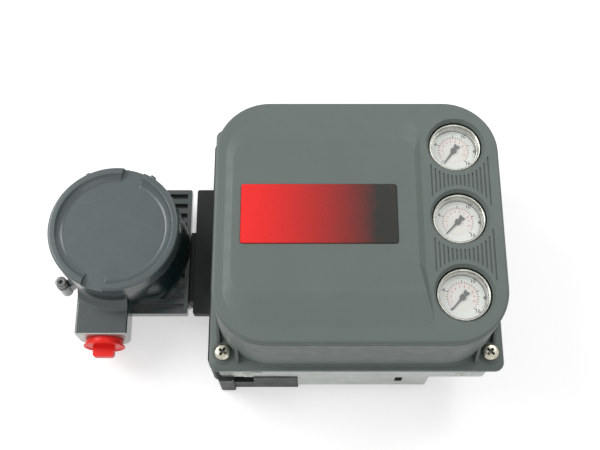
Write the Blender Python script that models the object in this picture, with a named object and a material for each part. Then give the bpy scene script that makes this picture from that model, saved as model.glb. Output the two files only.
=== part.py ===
"""Valve positioner lying on its back, front cover up.

Frame: metres, +Z out of the front cover, +Y towards the top of the instrument and +X
towards its pressure ports. The origin is the middle of the back face it rests on. A cast
housing and the module base stand under a moulded cover with three pressure gauges, and a
round terminal box with a screw cap is bolted to the housing's left side.
"""

import math

import bmesh
import bpy
from mathutils import Matrix, Vector

# Gaps between pieces, and how far a cutter reaches past the face that it cuts
GAP = 0.0003
OVER = 0.001
SCREW_CLEARANCE = 0.0003
WELD = 0.000001

# Cover flange and its screws
FLANGE_WIDTH = 0.166
FLANGE_LENGTH = 0.150
FLANGE_RADIUS = 0.0050
FLANGE_THICKNESS = 0.0042
FLANGE_BORDER = 0.0034
FLANGE_EDGE = 0.0008
FLANGE_LINE_WIDTH = 0.0008
FLANGE_LINE_DEPTH = 0.0006
COVER_SCREW_INSET_X = 0.0080
COVER_SCREW_INSET_Y = 0.0100
COVER_SCREW_RADIUS = 0.0024
COVER_SCREW_HEAD_RADIUS = 0.0047
COVER_SCREW_HEAD_HEIGHT = 0.0028
COVER_SCREW_LENGTH = 0.0125
SCREW_BOSS_WALL = 0.0010
CORNER_BOSS_RADIUS = 0.0062
CORNER_BOSS_PROUD = 0.0004

# Cover dome
DOME_INSET_X = 0.00450
DOME_INSET_Y = 0.00525
DOME_SHIFT = -0.00155
DOME_RADIUS = 0.0290
DOME_RISE = 0.0470
DOME_WALL = 0.0030
DOME_DRAFT = 0.0006
DOME_EDGE = 0.0016
PLATEAU_RISE = 0.0020
PLATEAU_SLOPE = 0.0200
GUSSET_THICKNESS = 0.0016
GUSSET_HEIGHT = 0.0200
GUSSET_INSET = 0.0035
GUSSET_SHIFT = 0.0020
GUSSET_GAP = 0.0006

# Gauges and the ribbed panel between them
GAUGE_INSET_X = 0.02365
GAUGE_INSET_Y = 0.02680
GAUGE_SHIFT = -0.0013
GAUGE_RADIUS = 0.0146
GAUGE_CASE_RADIUS = 0.0136
GAUGE_BORE_RADIUS = 0.0124
GAUGE_LIP = 0.0008
GAUGE_DIAL_DEPTH = 0.0052
GAUGE_BEZEL_HEIGHT = 0.0052
GAUGE_CASE_HEIGHT = 0.0220
GAUGE_STEM_RADIUS = 0.0042
GAUGE_RECESS = 0.0027
GAUGE_EDGE = 0.0007
GAUGE_LENS_INSET = 0.0008
GAUGE_STEM_RISE = 0.0030
DIAL_THICKNESS = 0.0005
LENS_THICKNESS = 0.0010
POINTER_LENGTH = 0.0095
POINTER_TAIL = 0.0043
POINTER_HUB_RADIUS = 0.0017
POINTER_THICKNESS = 0.0005
POINTER_PIN_RADIUS = 0.0008
POINTER_PIN_STEP = 0.0001
POINTER_HUB_HEIGHT = 0.0008
POINTER_HUB_TOP = 0.0011
POINTER_HALF_WIDTH = 0.00055
POINTER_TIP = 0.00028
POINTER_TAIL_WIDTH = 0.0017
POINTER_ZERO = math.radians(225)
GROOVE_COUNT = 15
GROOVE_PITCH = 0.00225
GROOVE_WIDTH = 0.0008
GROOVE_DEPTH = 0.0005
GROOVE_MARGIN = 0.0041
GROOVE_SHIFT = 0.0015
GAUGE_WINDOW_FLARE = 0.0012

# Raised field and label plate
FIELD_INSET_LEFT = 0.01015
FIELD_INSET_BOTTOM = 0.0270
FIELD_INSET_TOP = 0.0246
FIELD_GAUGE_MARGIN = 0.0092
FIELD_KINK = 0.0160
FIELD_STEP = 0.0036
FIELD_SLOPE = 0.0045
FIELD_CORNER = 0.0120
FIELD_RIGHT_CORNER = 0.0080
FIELD_KINK_CORNER = 0.0020
FOOT_CORNER = 0.0220
FOOT_RIGHT_CORNER = 0.0060
LABEL_INSET_LEFT = 0.0047
LABEL_INSET_RIGHT = 0.0103
LABEL_LENGTH = 0.0341
LABEL_Y = -0.0002
LABEL_THICKNESS = 0.0009
LABEL_RECESS = 0.0005
LABEL_CORNER = 0.0012

# Module base
MODULE_PLATE_THICKNESS = 0.0036
MODULE_BODY_DEPTH = 0.0144
MODULE_FLOOR = 0.0060
MODULE_WALL = 0.0065
MODULE_EDGE = 0.0015
MODULE_LEFT_INSET = 0.0045
MODULE_RIGHT_INSET = 0.0075
MODULE_CORNER = 0.0020
MODULE_GROOVE = 0.0012
MODULE_GROOVE_HEIGHT = 0.0080
MODULE_GROOVE_STEP = 0.0035
MODULE_GROOVE_LEFT = 0.0125
MODULE_GROOVE_RIGHT = 0.0100
MODULE_KEY_INSET = 0.0194
MODULE_KEY_WIDTH = 0.0044
MODULE_KEY_DEPTH = 0.0050
MODULE_KEY_RISE = 0.0110
MODULE_TAB = 0.0004
MODULE_TAB_LEFT = -0.0595
MODULE_TAB_RIGHT = 0.0570
MODULE_TAB_WIDTH = 0.0060
MODULE_TAB_HEIGHT = 0.0050
GAUGE_BLOCK_MARGIN = 0.01685
MODULE_SCREW_RADIUS = 0.0020
MODULE_SCREW_HEAD_RADIUS = 0.0038
MODULE_SCREW_HEAD_HEIGHT = 0.0024
MODULE_SCREW_LENGTH = 0.0180
MODULE_SCREW_HOLE = 0.0150
MODULE_SCREW_LEFT = 0.0065
MODULE_SCREW_RIGHT = 0.0070
MODULE_SCREW_SIDE = 0.0055
MODULE_SCREW_BOSS = 0.0060
PORT_RADIUS = 0.0056
PORT_DEPTH = 0.0180
PORT_BOLT_RADIUS = 0.0034
PORT_BOLT_SPACING = 0.0380
PORT_BOLT_DEPTH = 0.0120
GAUGE_PORT_WALL = 0.0012
SEAL_THICKNESS = 0.0012
SEAL_WIDTH = 0.0026
SEAL_INSET = 0.0012

# Housing
HOUSING_DEPTH = 0.0277
HOUSING_FLOOR = 0.0060
HOUSING_WALL = 0.0075
HOUSING_STEP = 0.0321
HOUSING_OVERHANG = 0.0015
HOUSING_CORNER = 0.0030
HOUSING_SIDE_INSET = 0.0045
HOUSING_INNER_CORNER = 0.0050
WINDOW_MARGIN = 0.0129
WINDOW_SILL = 0.0050
WINDOW_STEP = 0.0004
SILL_RECESS = 0.0025
SILL_STEP = 0.0006
LUG_INSET = 0.0050
LUG_WIDTH = 0.0090
LUG_PROUD = 0.0020
NOTCH_WIDTH = 0.0115
NOTCH_DEPTH = 0.0045
CHANNEL_WIDTH = 0.0170
CHANNEL_DEPTH = 0.0140
CHANNEL_WALL = 0.0045
CHANNEL_END_INSET = 0.0260
MOUNT_INSET_X = 0.0282
MOUNT_INSET_Y = 0.02635
MOUNT_HOLE_RADIUS = 0.0034
MOUNT_HOLE_DEPTH = 0.0140
MOUNT_BOSS_RADIUS = 0.0080
MOUNT_BOSS_FLOOR = 0.0040
VENT_INSET = 0.0325
VENT_RADIUS = 0.0075
VENT_SCREEN_THICKNESS = 0.0040
VENT_SCREEN_DISH = 0.0015
VENT_SCREEN_INSET = 0.0010

# Joint between the housing and the terminal box
JOINT_BLOCK_WIDTH = 0.0118
JOINT_BLOCK_LENGTH = 0.0808
JOINT_BLOCK_Y = 0.0059
JOINT_BLOCK_BACK = 0.0030
JOINT_BLOCK_FRONT = 0.0240
JOINT_EDGE = 0.0012
JOINT_LAP = 0.0030
JOINT_PLATE_BACK = 0.0180
JOINT_OPENING = 0.0032
PAD_LENGTH = 0.0446
PAD_Y = -0.0037
BOX_SCREW_SPACING = 0.0150
BOX_SCREW_RADIUS = 0.0024
BOX_SCREW_HEAD_RADIUS = 0.0042
BOX_SCREW_HEAD_HEIGHT = 0.0045
BOX_SCREW_GRIP = 0.0060
BOX_SCREW_HOLE = 0.0070

# Terminal box
BOX_Y = 0.0068
BOX_RADIUS = 0.0369
BOX_BACK = 0.0030
BOX_TOP = 0.0497
BOX_FLOOR = 0.0060
BOX_WALL = 0.0050
BOX_BACK_EDGE = 0.0030
BOX_DRAFT = 0.0006
BOX_MOUTH_DEPTH = 0.0024
SHOULDER_STAND = 0.0040
SHOULDER_TRIM = 0.0002
SHOULDER_BACK = 0.0080
SHOULDER_FRONT = 0.0380
RIB_BLOCK_WIDTH = 0.0375
RIB_SLOT_WIDTH = 0.0035
RIB_PITCH = 0.0065
RIB_SLOT_DEPTH = 0.0035
RIB_BORDER = 0.0026
RIB_NECK_WIDTH = 0.0185
BOSS_WIDTH = 0.0305
BOSS_HEIGHT = 0.0290
BOSS_OFFSET_X = -0.0080
BOSS_STAND = 0.0202
BOSS_BACK = 0.0080
BOSS_ROUND = 0.0012
BOSS_CHAMFER = 0.0140
CONDUIT_RADIUS = 0.0110

# Terminal box cap
CAP_OVERHANG = 0.0013
CAP_SKIRT = 0.0081
CAP_RIM_HEIGHT = 0.0036
CAP_RIM_WIDTH = 0.0043
CAP_RIM_SLOPE = 0.0040
CAP_RIM_ROUND = 0.0015
CAP_THREAD_DEPTH = 0.0093
CAP_THREAD_WALL = 0.0032
CAP_FLOOR = 0.0040
CAP_INNER_EDGE = 0.0020
CAP_NOTCH_WIDTH = 0.0127
CAP_NOTCH_ANGLE = math.radians(74.4)
CAP_SEAL_RADIUS = 0.0012

# Conduit plug
PLUG_DEPTH = 0.0120
PLUG_STAND = 0.0027
PLUG_RING_RADIUS = 0.01225
PLUG_RING_THICKNESS = 0.0025
PLUG_TAB_WIDTH = 0.0118
PLUG_TAB_HEIGHT = 0.0052
PLUG_TAB_REACH = 0.0053
PLUG_WALL = 0.0020
PLUG_EDGE = 0.0004
PLUG_RING_EDGE = 0.0008
PLUG_TIP = 0.0010
PLUG_TAB_CORNER = 0.0020
PLUG_TAB_STEP = 0.0005

# Ground screws, cap lock and terminals
GROUND_ANGLE = math.radians(218.4)
GROUND_REACH = 0.0422
GROUND_Z = 0.0340
GROUND_LUG_LENGTH = 0.0120
GROUND_WEB_WIDTH = 0.0050
GROUND_WEB_LENGTH = 0.0080
GROUND_HOLE_DEPTH = 0.0080
GROUND_SCREW_LENGTH = 0.0065
GROUND_WEB_STEP = 0.0005
GROUND_HEAD_RADIUS = 0.0033
GROUND_HEAD_LENGTH = 0.0045
GROUND_SHANK_RADIUS = 0.0018
GROUND_WASHER_RADIUS = 0.0036
GROUND_WASHER_THICKNESS = 0.0010
GROUND_INSET = 0.0120
GROUND_SHIFT = 0.0060
LOCK_ANGLE = math.radians(50)
LOCK_Z = 0.0430
LOCK_SCREW_RADIUS = 0.0016
LOCK_SCREW_LENGTH = 0.0055
LOCK_SCREW_PROUD = 0.0018
LOCK_SOCKET_DEPTH = 0.0015
LOCK_BOSS_RADIUS = 0.0042
LOCK_BOSS_PROUD = 0.0014
LOCK_HOLE_PAST = 0.0030
LOCK_HOLE_WALL = 0.0025
BOARD_SCREW_RADIUS = 0.0014
BOARD_SCREW_HEAD_RADIUS = 0.0027
BOARD_SCREW_HOLE = 0.0040
BOARD_SCREW_LENGTH = 0.0065
INNER_GROUND_RADIUS = 0.0018
INNER_GROUND_HEAD_RADIUS = 0.0036
INNER_GROUND_HEAD_HEIGHT = 0.0022
INNER_GROUND_LENGTH = 0.0040
INNER_GROUND_HOLE = 0.0045
TERMINAL_SCREW_RADIUS = 0.0015
TERMINAL_SCREW_HEAD_RADIUS = 0.0028
TERMINAL_HEAD_HEIGHT = 0.0018
TERMINAL_SCREW_LENGTH = 0.0055
TERMINAL_COUNT = 2
TERMINAL_PITCH = 0.0120
TERMINAL_BOARD_LENGTH = 0.0380
TERMINAL_BOARD_WIDTH = 0.0110
TERMINAL_BOARD_THICKNESS = 0.0030
TERMINAL_BOARD_CORNER = 0.0015
TERMINAL_STRIP_HEIGHT = 0.0105
TERMINAL_SCREW_REACH = 0.0160
TERMINAL_SHIFT_X = 0.0020
TERMINAL_SHIFT_Y = 0.0080

# Modules under the cover
SMALL_SCREW_RADIUS = 0.0014
SMALL_SCREW_HEAD_RADIUS = 0.0027
SMALL_SCREW_HEAD_HEIGHT = 0.0020
SMALL_SCREW_GRIP = 0.0040
SMALL_SCREW_INSET = 0.0040
CONVERTER_MARGIN = 0.0050
CONVERTER_TOP_MARGIN = 0.0109
CONVERTER_SIZE = 0.0380
CONVERTER_BASE = 0.0100
CONVERTER_RADIUS = 0.0140
CONVERTER_HEIGHT = 0.0240
CONVERTER_NOSE_RADIUS = 0.0084
CONVERTER_NOSE_HEIGHT = 0.0020
SHROUD_WALL = 0.0020
SHROUD_ROOF = 0.0025
SHROUD_SKIRT = 0.0156
RELAY_MARGIN = 0.0040
RELAY_BOTTOM_MARGIN = 0.0059
RELAY_WIDTH = 0.0400
RELAY_LENGTH = 0.0520
RELAY_HEIGHT = 0.0240
RELAY_LEDGE = 0.0108
BONNET_RADIUS = 0.0165
BONNET_SHIFT = 0.0015
BONNET_FLANGE = 0.0040
BONNET_STEP = 0.0015
DISC_RADIUS = 0.0090
DISC_THICKNESS = 0.0040
DISC_INSET = 0.0015
DISC_BEVEL = 0.0008
DISC_PIN_RADIUS = 0.0020
DISC_PIN_LENGTH = 0.0055
DISC_SLOT_LENGTH = 0.0108
DISC_SLOT_WIDTH = 0.0016
DISC_SLOT_DEPTH = 0.0010
TRAY_MARGIN_LEFT = 0.0050
TRAY_MARGIN_RIGHT = 0.0070
TRAY_MARGIN_ENDS = 0.0079
TRAY_HEIGHT = 0.0180
TRAY_CORNER = 0.0090
TRAY_RIM_SIDES = 0.0050
TRAY_RIM_ENDS = 0.0120
TRAY_RECESS = 0.0030
TRAY_SCREW_INSET = 0.0045
TRAY_SCREW_FLOOR = 0.0040
TRAY_SCREW_WELL = 0.0042
CIRCUIT_THICKNESS = 0.0016
CONNECTOR_INSET_SIDES = 0.0090
CONNECTOR_LENGTH = 0.0070
CONNECTOR_HEIGHT = 0.0090
CONNECTOR_INSET = 0.0138
CHIP_SIZE = 0.0120
CHIP_HEIGHT = 0.0035
COIL_RADIUS = 0.0045
COIL_HEIGHT = 0.0100
COIL_INSET = 0.0178

# Facets
FINE = 40
ROUND = 28
SMALL = 16
TINY = 10
CORNER_STEPS = 5

# Levels, from the back to the front
MODULE_BOTTOM = HOUSING_DEPTH + GAP
PLATE_BOTTOM = MODULE_BOTTOM + MODULE_BODY_DEPTH
MODULE_TOP = PLATE_BOTTOM + MODULE_PLATE_THICKNESS
MODULE_SEAT = MODULE_BOTTOM + MODULE_FLOOR
SEAL_BOTTOM = MODULE_TOP + GAP
COVER_BOTTOM = SEAL_BOTTOM + SEAL_THICKNESS + GAP
FLANGE_FRONT = COVER_BOTTOM + FLANGE_THICKNESS
SCREW_SEAT = FLANGE_FRONT + CORNER_BOSS_PROUD
DOME_TOP = FLANGE_FRONT + DOME_RISE
PLATEAU_TOP = DOME_TOP + PLATEAU_RISE
GAUGE_FRONT = DOME_TOP - GAUGE_RECESS
DIAL_SEAT = GAUGE_FRONT - GAUGE_DIAL_DEPTH
CAP_BOTTOM = BOX_TOP + 2 * GAP
CAP_FACE = CAP_BOTTOM + CAP_SKIRT
CAP_TOP = CAP_FACE + CAP_RIM_HEIGHT

# Places across the instrument
DOME_WIDTH = FLANGE_WIDTH - 2 * DOME_INSET_X
DOME_LENGTH = FLANGE_LENGTH - 2 * DOME_INSET_Y
GAUGE_X = DOME_WIDTH / 2 - GAUGE_INSET_X
GAUGE_PITCH = DOME_LENGTH / 2 - GAUGE_INSET_Y
FIELD_LEFT = -DOME_WIDTH / 2 + FIELD_INSET_LEFT
FIELD_RIGHT = GAUGE_X - GAUGE_RADIUS - FIELD_GAUGE_MARGIN
FIELD_BOTTOM = DOME_SHIFT - DOME_LENGTH / 2 + FIELD_INSET_BOTTOM
FIELD_TOP = DOME_SHIFT + DOME_LENGTH / 2 - FIELD_INSET_TOP
LABEL_LEFT = FIELD_LEFT + LABEL_INSET_LEFT
LABEL_WIDTH = FIELD_RIGHT - LABEL_INSET_RIGHT - LABEL_LEFT
LABEL_X = LABEL_LEFT + LABEL_WIDTH / 2
MODULE_LEFT = -FLANGE_WIDTH / 2 + MODULE_LEFT_INSET
MODULE_RIGHT = FLANGE_WIDTH / 2 - MODULE_RIGHT_INSET
MODULE_SIDE = FLANGE_LENGTH / 2 - MODULE_EDGE
MODULE_RECESS_LEFT = MODULE_LEFT + MODULE_WALL
MODULE_RECESS_RIGHT = GAUGE_X - GAUGE_BLOCK_MARGIN
MODULE_RECESS_SIDE = MODULE_SIDE - MODULE_WALL
HOUSING_LEFT = -FLANGE_WIDTH / 2 - HOUSING_OVERHANG
HOUSING_RIGHT = MODULE_RIGHT - HOUSING_STEP
HOUSING_SIDE = MODULE_SIDE + HOUSING_OVERHANG / 3
LUG_LEFT = HOUSING_LEFT + LUG_INSET
CHANNEL_X = (HOUSING_LEFT + HOUSING_RIGHT) / 2
CHANNEL_END = CHANNEL_END_INSET - HOUSING_SIDE
WINDOW_LEFT = CHANNEL_X - WINDOW_MARGIN
MOUNT_SPACING_X = HOUSING_RIGHT - HOUSING_LEFT - 2 * MOUNT_INSET_X
MOUNT_SPACING_Y = 2 * (HOUSING_SIDE - MOUNT_INSET_Y)
VENT_X = HOUSING_LEFT + VENT_INSET
CONVERTER_X = MODULE_RECESS_RIGHT - CONVERTER_MARGIN - CONVERTER_SIZE / 2
CONVERTER_Y = MODULE_RECESS_SIDE - CONVERTER_TOP_MARGIN - CONVERTER_SIZE / 2
RELAY_X = MODULE_RECESS_RIGHT - RELAY_MARGIN - RELAY_WIDTH / 2
RELAY_Y = -MODULE_RECESS_SIDE + RELAY_BOTTOM_MARGIN + RELAY_LENGTH / 2
TRAY_LEFT = MODULE_RECESS_LEFT + TRAY_MARGIN_LEFT
TRAY_RIGHT = RELAY_X - RELAY_WIDTH / 2 - TRAY_MARGIN_RIGHT
TRAY_SIDE = MODULE_RECESS_SIDE - TRAY_MARGIN_ENDS
TRAY_X = (TRAY_LEFT + TRAY_RIGHT) / 2
COVER_SCREW_X = FLANGE_WIDTH / 2 - COVER_SCREW_INSET_X
COVER_SCREW_Y = FLANGE_LENGTH / 2 - COVER_SCREW_INSET_Y
JOINT_FACE = HOUSING_LEFT - JOINT_BLOCK_WIDTH
RIB_BLOCK_RIGHT = JOINT_FACE - JOINT_OPENING
RIB_BLOCK_LEFT = RIB_BLOCK_RIGHT - RIB_BLOCK_WIDTH
JOINT_MIDDLE_Z = (JOINT_BLOCK_BACK + JOINT_BLOCK_FRONT) / 2
SHOULDER_RADIUS = BOX_RADIUS + SHOULDER_STAND
CHAMBER_RADIUS = BOX_RADIUS - BOX_WALL
CAP_RADIUS = BOX_RADIUS + CAP_OVERHANG
BOSS_REACH = BOX_RADIUS + BOSS_STAND
BOX_X = RIB_BLOCK_RIGHT - SHOULDER_RADIUS + SHOULDER_TRIM
BOSS_X = BOX_X + BOSS_OFFSET_X
BOSS_END = BOX_Y - BOSS_REACH
CONDUIT_Z = BOSS_BACK + BOSS_HEIGHT / 2
TERMINAL_X = BOX_X + TERMINAL_SHIFT_X
TERMINAL_Y = BOX_Y + TERMINAL_SHIFT_Y
GAUGE_ROWS = [GAUGE_SHIFT + GAUGE_PITCH * step for step in (1, 0, -1)]
PORT_Z = MODULE_BOTTOM + MODULE_BODY_DEPTH / 2 + 0.0010


def clear_scene():
    """Remove every object that the scene starts with."""
    for obj in list(bpy.data.objects):
        bpy.data.objects.remove(obj)


def finish(name, color, roughness, metallic=0.0):
    """A plain surface with its own colour, roughness and metallic value."""
    material = bpy.data.materials.new(name)
    material.use_nodes = True
    shader = material.node_tree.nodes["Principled BSDF"]
    shader.inputs["Base Color"].default_value = (*color, 1.0)
    shader.inputs["Roughness"].default_value = roughness
    shader.inputs["Metallic"].default_value = metallic
    return material


def solid(bm, name, material=None, origin=(0, 0, 0), smooth=False):
    """Make an object of a mesh drawn in world coordinates, with its origin at a given point."""
    bmesh.ops.translate(bm, vec=-Vector(origin), verts=bm.verts)
    bmesh.ops.recalc_face_normals(bm, faces=bm.faces)
    mesh = bpy.data.meshes.new(name)
    bm.to_mesh(mesh)
    bm.free()
    obj = bpy.data.objects.new(name, mesh)
    obj.location = origin
    bpy.context.scene.collection.objects.link(obj)
    dress(obj, material, smooth)
    return obj


def dress(obj, material, smooth):
    """Give an object its material, and smooth shading between its sharp edges."""
    if material is not None:
        obj.data.materials.clear()
        obj.data.materials.append(material)
    if smooth:
        obj.data.shade_smooth()
        obj.data.set_sharp_from_angle(angle=math.radians(32))


def combine(target, tool, operation):
    """Join a tool to its target, or cut it away, and leave the result on the target."""
    step = target.modifiers.new("shape", 'BOOLEAN')
    step.operation = operation
    step.solver = 'EXACT'
    step.object = tool
    graph = bpy.context.evaluated_depsgraph_get()
    mesh = bpy.data.meshes.new_from_object(target.evaluated_get(graph), depsgraph=graph)
    target.modifiers.clear()
    target.data = mesh
    bpy.data.objects.remove(tool)
    weld(mesh)


def weld(mesh):
    """Merge the corners of a mesh that lie at the same point."""
    bm = bmesh.new()
    bm.from_mesh(mesh)
    bmesh.ops.remove_doubles(bm, verts=bm.verts, dist=WELD)
    bmesh.ops.dissolve_degenerate(bm, edges=bm.edges, dist=WELD)
    bm.to_mesh(mesh)
    bm.free()


def join(target, *shapes):
    """Join each drawn shape to the target."""
    for bm in shapes:
        combine(target, solid(bm, "tool"), 'UNION')


def cut(target, *shapes):
    """Cut each drawn shape away from the target."""
    for bm in shapes:
        combine(target, solid(bm, "tool"), 'DIFFERENCE')


def aim(bm, origin, axis):
    """Turn a shape drawn along +Z to an axis, and move it to its origin."""
    turn = Vector((0, 0, 1)).rotation_difference(Vector(axis)).to_matrix().to_4x4()
    bmesh.ops.transform(bm, matrix=Matrix.Translation(origin) @ turn, verts=bm.verts)
    return bm


def block(x_range, y_range, z_range):
    """A box between two limits along each axis."""
    bm = bmesh.new()
    bmesh.ops.create_cube(bm, size=1.0)
    limits = (x_range, y_range, z_range)
    size = [high - low for low, high in limits]
    middle = [(high + low) / 2 for low, high in limits]
    bmesh.ops.scale(bm, vec=size, verts=bm.verts)
    bmesh.ops.translate(bm, vec=middle, verts=bm.verts)
    return bm


def soft_block(x_range, y_range, z_range, radius, steps=3):
    """A box whose upright edges are rounded."""
    width = x_range[1] - x_range[0]
    length = y_range[1] - y_range[0]
    middle = (sum(x_range) / 2, sum(y_range) / 2)
    return prism(rounded_rectangle(width, length, radius, middle, steps), *z_range)


def rod(origin, axis, start, end, radius, segments):
    """A cylinder along an axis, between two distances from its origin."""
    bm = bmesh.new()
    bmesh.ops.create_cone(bm, cap_ends=True, segments=segments, radius1=radius, radius2=radius,
                          depth=end - start)
    bmesh.ops.translate(bm, vec=(0, 0, (start + end) / 2), verts=bm.verts)
    return aim(bm, origin, axis)


def turned(profile, segments, origin=(0, 0, 0), axis=(0, 0, 1)):
    """A solid of revolution from radius and height pairs, closed on its axis or on itself."""
    bm = bmesh.new()
    corners = [bm.verts.new((radius, 0, height)) for radius, height in profile]
    edges = [bm.edges.new(pair) for pair in zip(corners, corners[1:])]
    if profile[0][0] > 0:
        edges.append(bm.edges.new((corners[-1], corners[0])))
    bmesh.ops.spin(bm, geom=corners + edges, axis=(0, 0, 1), cent=(0, 0, 0), dvec=(0, 0, 0),
                   angle=math.tau, steps=segments, use_merge=True)
    bmesh.ops.remove_doubles(bm, verts=bm.verts, dist=1e-6)
    return aim(bm, origin, axis)


def prism(outline, bottom, top):
    """An outline in the XY plane, extruded between two heights."""
    bm = bmesh.new()
    base = bm.faces.new([bm.verts.new((x, y, bottom)) for x, y in outline])
    lifted = bmesh.ops.extrude_face_region(bm, geom=[base])["geom"]
    verts = [item for item in lifted if isinstance(item, bmesh.types.BMVert)]
    bmesh.ops.translate(bm, vec=(0, 0, top - bottom), verts=verts)
    return bm


def loft(rings):
    """A closed skin over outlines of as many points each, given as (outline, height) pairs."""
    bm = bmesh.new()
    loops = [[bm.verts.new((x, y, height)) for x, y in outline] for outline, height in rings]
    for low, high in zip(loops, loops[1:]):
        for index in range(len(low)):
            after = (index + 1) % len(low)
            bm.faces.new((low[index], low[after], high[after], high[index]))
    bm.faces.new(loops[0])
    bm.faces.new(loops[-1])
    return bm


def rounded_polygon(corners, steps=CORNER_STEPS):
    """An outline through (x, y, radius) corners, anticlockwise, with an arc at each corner."""
    outline = []
    count = len(corners)
    for index, (x, y, radius) in enumerate(corners):
        here = Vector((x, y))
        before = Vector(corners[index - 1][:2])
        after = Vector(corners[(index + 1) % count][:2])
        back = (before - here).normalized()
        ahead = (after - here).normalized()
        half = back.angle(ahead) / 2
        centre = here + (back + ahead).normalized() * radius / math.sin(half)
        start = here + back * radius / math.tan(half) - centre
        sweep = math.pi - 2 * half
        for step in range(steps + 1):
            turn = Matrix.Rotation(sweep * step / steps, 2)
            outline.append(tuple(centre + turn @ start))
    return outline


def rounded_rectangle(width, length, radius, centre=(0, 0), steps=CORNER_STEPS):
    """A rectangle with rounded corners about its centre."""
    x, y = centre
    corners = [(x - width / 2, y - length / 2, radius), (x + width / 2, y - length / 2, radius),
               (x + width / 2, y + length / 2, radius), (x - width / 2, y + length / 2, radius)]
    return rounded_polygon(corners, steps)


def pan_screw(name, origin, axis, material, shank, head, head_height, length, segments=SMALL):
    """A pan-head screw whose head stands on its origin and whose shank runs back from it."""
    crown = head * 0.68
    profile = [(0, -length), (shank, -length), (shank, 0), (head, 0), (head, head_height * 0.45),
               (crown, head_height), (0, head_height)]
    bm = turned(profile, segments, origin, axis)
    return solid(bm, name, material, origin, smooth=True)


def socket_screw(name, origin, axis, material, shank, head, head_height, length):
    """A socket-head screw whose head stands on its origin, with a six-sided key socket."""
    edge = head * 0.08
    profile = [(0, -length), (shank, -length), (shank, 0), (head, 0), (head, head_height - edge),
               (head - edge, head_height), (0, head_height)]
    screw = solid(turned(profile, TINY, origin, axis), name, material, origin, smooth=True)
    cut(screw, rod(origin, axis, head_height * 0.45, head_height * 1.4, head * 0.52, 6))
    dress(screw, material, smooth=True)
    return screw


def corner_points(x, y):
    """The four points at plus and minus x and y."""
    return [(side * x, end * y) for end in (1, -1) for side in (-1, 1)]


def dome_outline(growth):
    """The dome's outline in plan, grown outwards or, below zero, inwards."""
    return rounded_rectangle(DOME_WIDTH + 2 * growth, DOME_LENGTH + 2 * growth,
                             DOME_RADIUS + growth, (0, DOME_SHIFT))


def dome_skin():
    """The outside of the dome: a drafted wall and a rounded front edge."""
    rings = [(dome_outline(DOME_DRAFT), COVER_BOTTOM + FLANGE_THICKNESS / 2),
             (dome_outline(DOME_DRAFT), FLANGE_FRONT),
             (dome_outline(0), DOME_TOP - DOME_EDGE)]
    steps = 4
    for step in range(1, steps + 1):
        angle = math.pi / 2 * step / steps
        inwards = DOME_EDGE * (1 - math.cos(angle))
        rings.append((dome_outline(-inwards), DOME_TOP - DOME_EDGE * (1 - math.sin(angle))))
    return loft(rings)


def dome_hollow():
    """The inside of the dome, open towards the module base."""
    inner = DOME_DRAFT - DOME_WALL
    return loft([(dome_outline(inner), COVER_BOTTOM - DOME_WALL),
                 (dome_outline(inner), FLANGE_FRONT),
                 (dome_outline(-DOME_WALL), DOME_TOP - DOME_WALL - DOME_EDGE / 2),
                 (dome_outline(-DOME_WALL - DOME_EDGE / 2), DOME_TOP - DOME_WALL)])


def plateau():
    """The raised field that carries the label, with sloping sides on all of its edges."""
    foot_left = FIELD_LEFT - FIELD_SLOPE
    foot_right = FIELD_RIGHT + FIELD_SLOPE
    foot_bottom = FIELD_BOTTOM - PLATEAU_SLOPE
    foot_top = FIELD_TOP + PLATEAU_SLOPE * 0.75
    kink = FIELD_BOTTOM + FIELD_KINK
    crown = [(FIELD_LEFT, FIELD_BOTTOM, FIELD_CORNER),
             (FIELD_RIGHT + FIELD_STEP, FIELD_BOTTOM, FIELD_KINK_CORNER),
             (FIELD_RIGHT, kink, FIELD_KINK_CORNER),
             (FIELD_RIGHT, FIELD_TOP, FIELD_RIGHT_CORNER),
             (FIELD_LEFT, FIELD_TOP, FIELD_CORNER)]
    foot = [(foot_left, foot_bottom, FOOT_CORNER),
            (foot_right + FIELD_STEP, foot_bottom, FOOT_RIGHT_CORNER),
            (foot_right, kink - FIELD_STEP, FIELD_KINK_CORNER),
            (foot_right, foot_top, FIELD_CORNER),
            (foot_left, foot_top, FOOT_CORNER)]
    return loft([(rounded_polygon(foot), DOME_TOP - DOME_WALL / 2),
                 (rounded_polygon(foot), DOME_TOP - GAP / 6),
                 (rounded_polygon(crown), PLATEAU_TOP)])


def gusset(x, wall_y, end_y):
    """A thin upright web that slopes from the dome's wall down to the flange."""
    top = FLANGE_FRONT + GUSSET_HEIGHT
    bottom = FLANGE_FRONT - FLANGE_THICKNESS / 2
    side = GUSSET_THICKNESS / 2
    bm = bmesh.new()
    corners = [(wall_y, bottom), (end_y, bottom), (end_y, FLANGE_FRONT + OVER), (wall_y, top)]
    base = bm.faces.new([bm.verts.new((x - side, y, z)) for y, z in corners])
    lifted = bmesh.ops.extrude_face_region(bm, geom=[base])["geom"]
    verts = [item for item in lifted if isinstance(item, bmesh.types.BMVert)]
    bmesh.ops.translate(bm, vec=(2 * side, 0, 0), verts=verts)
    return bm


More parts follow.
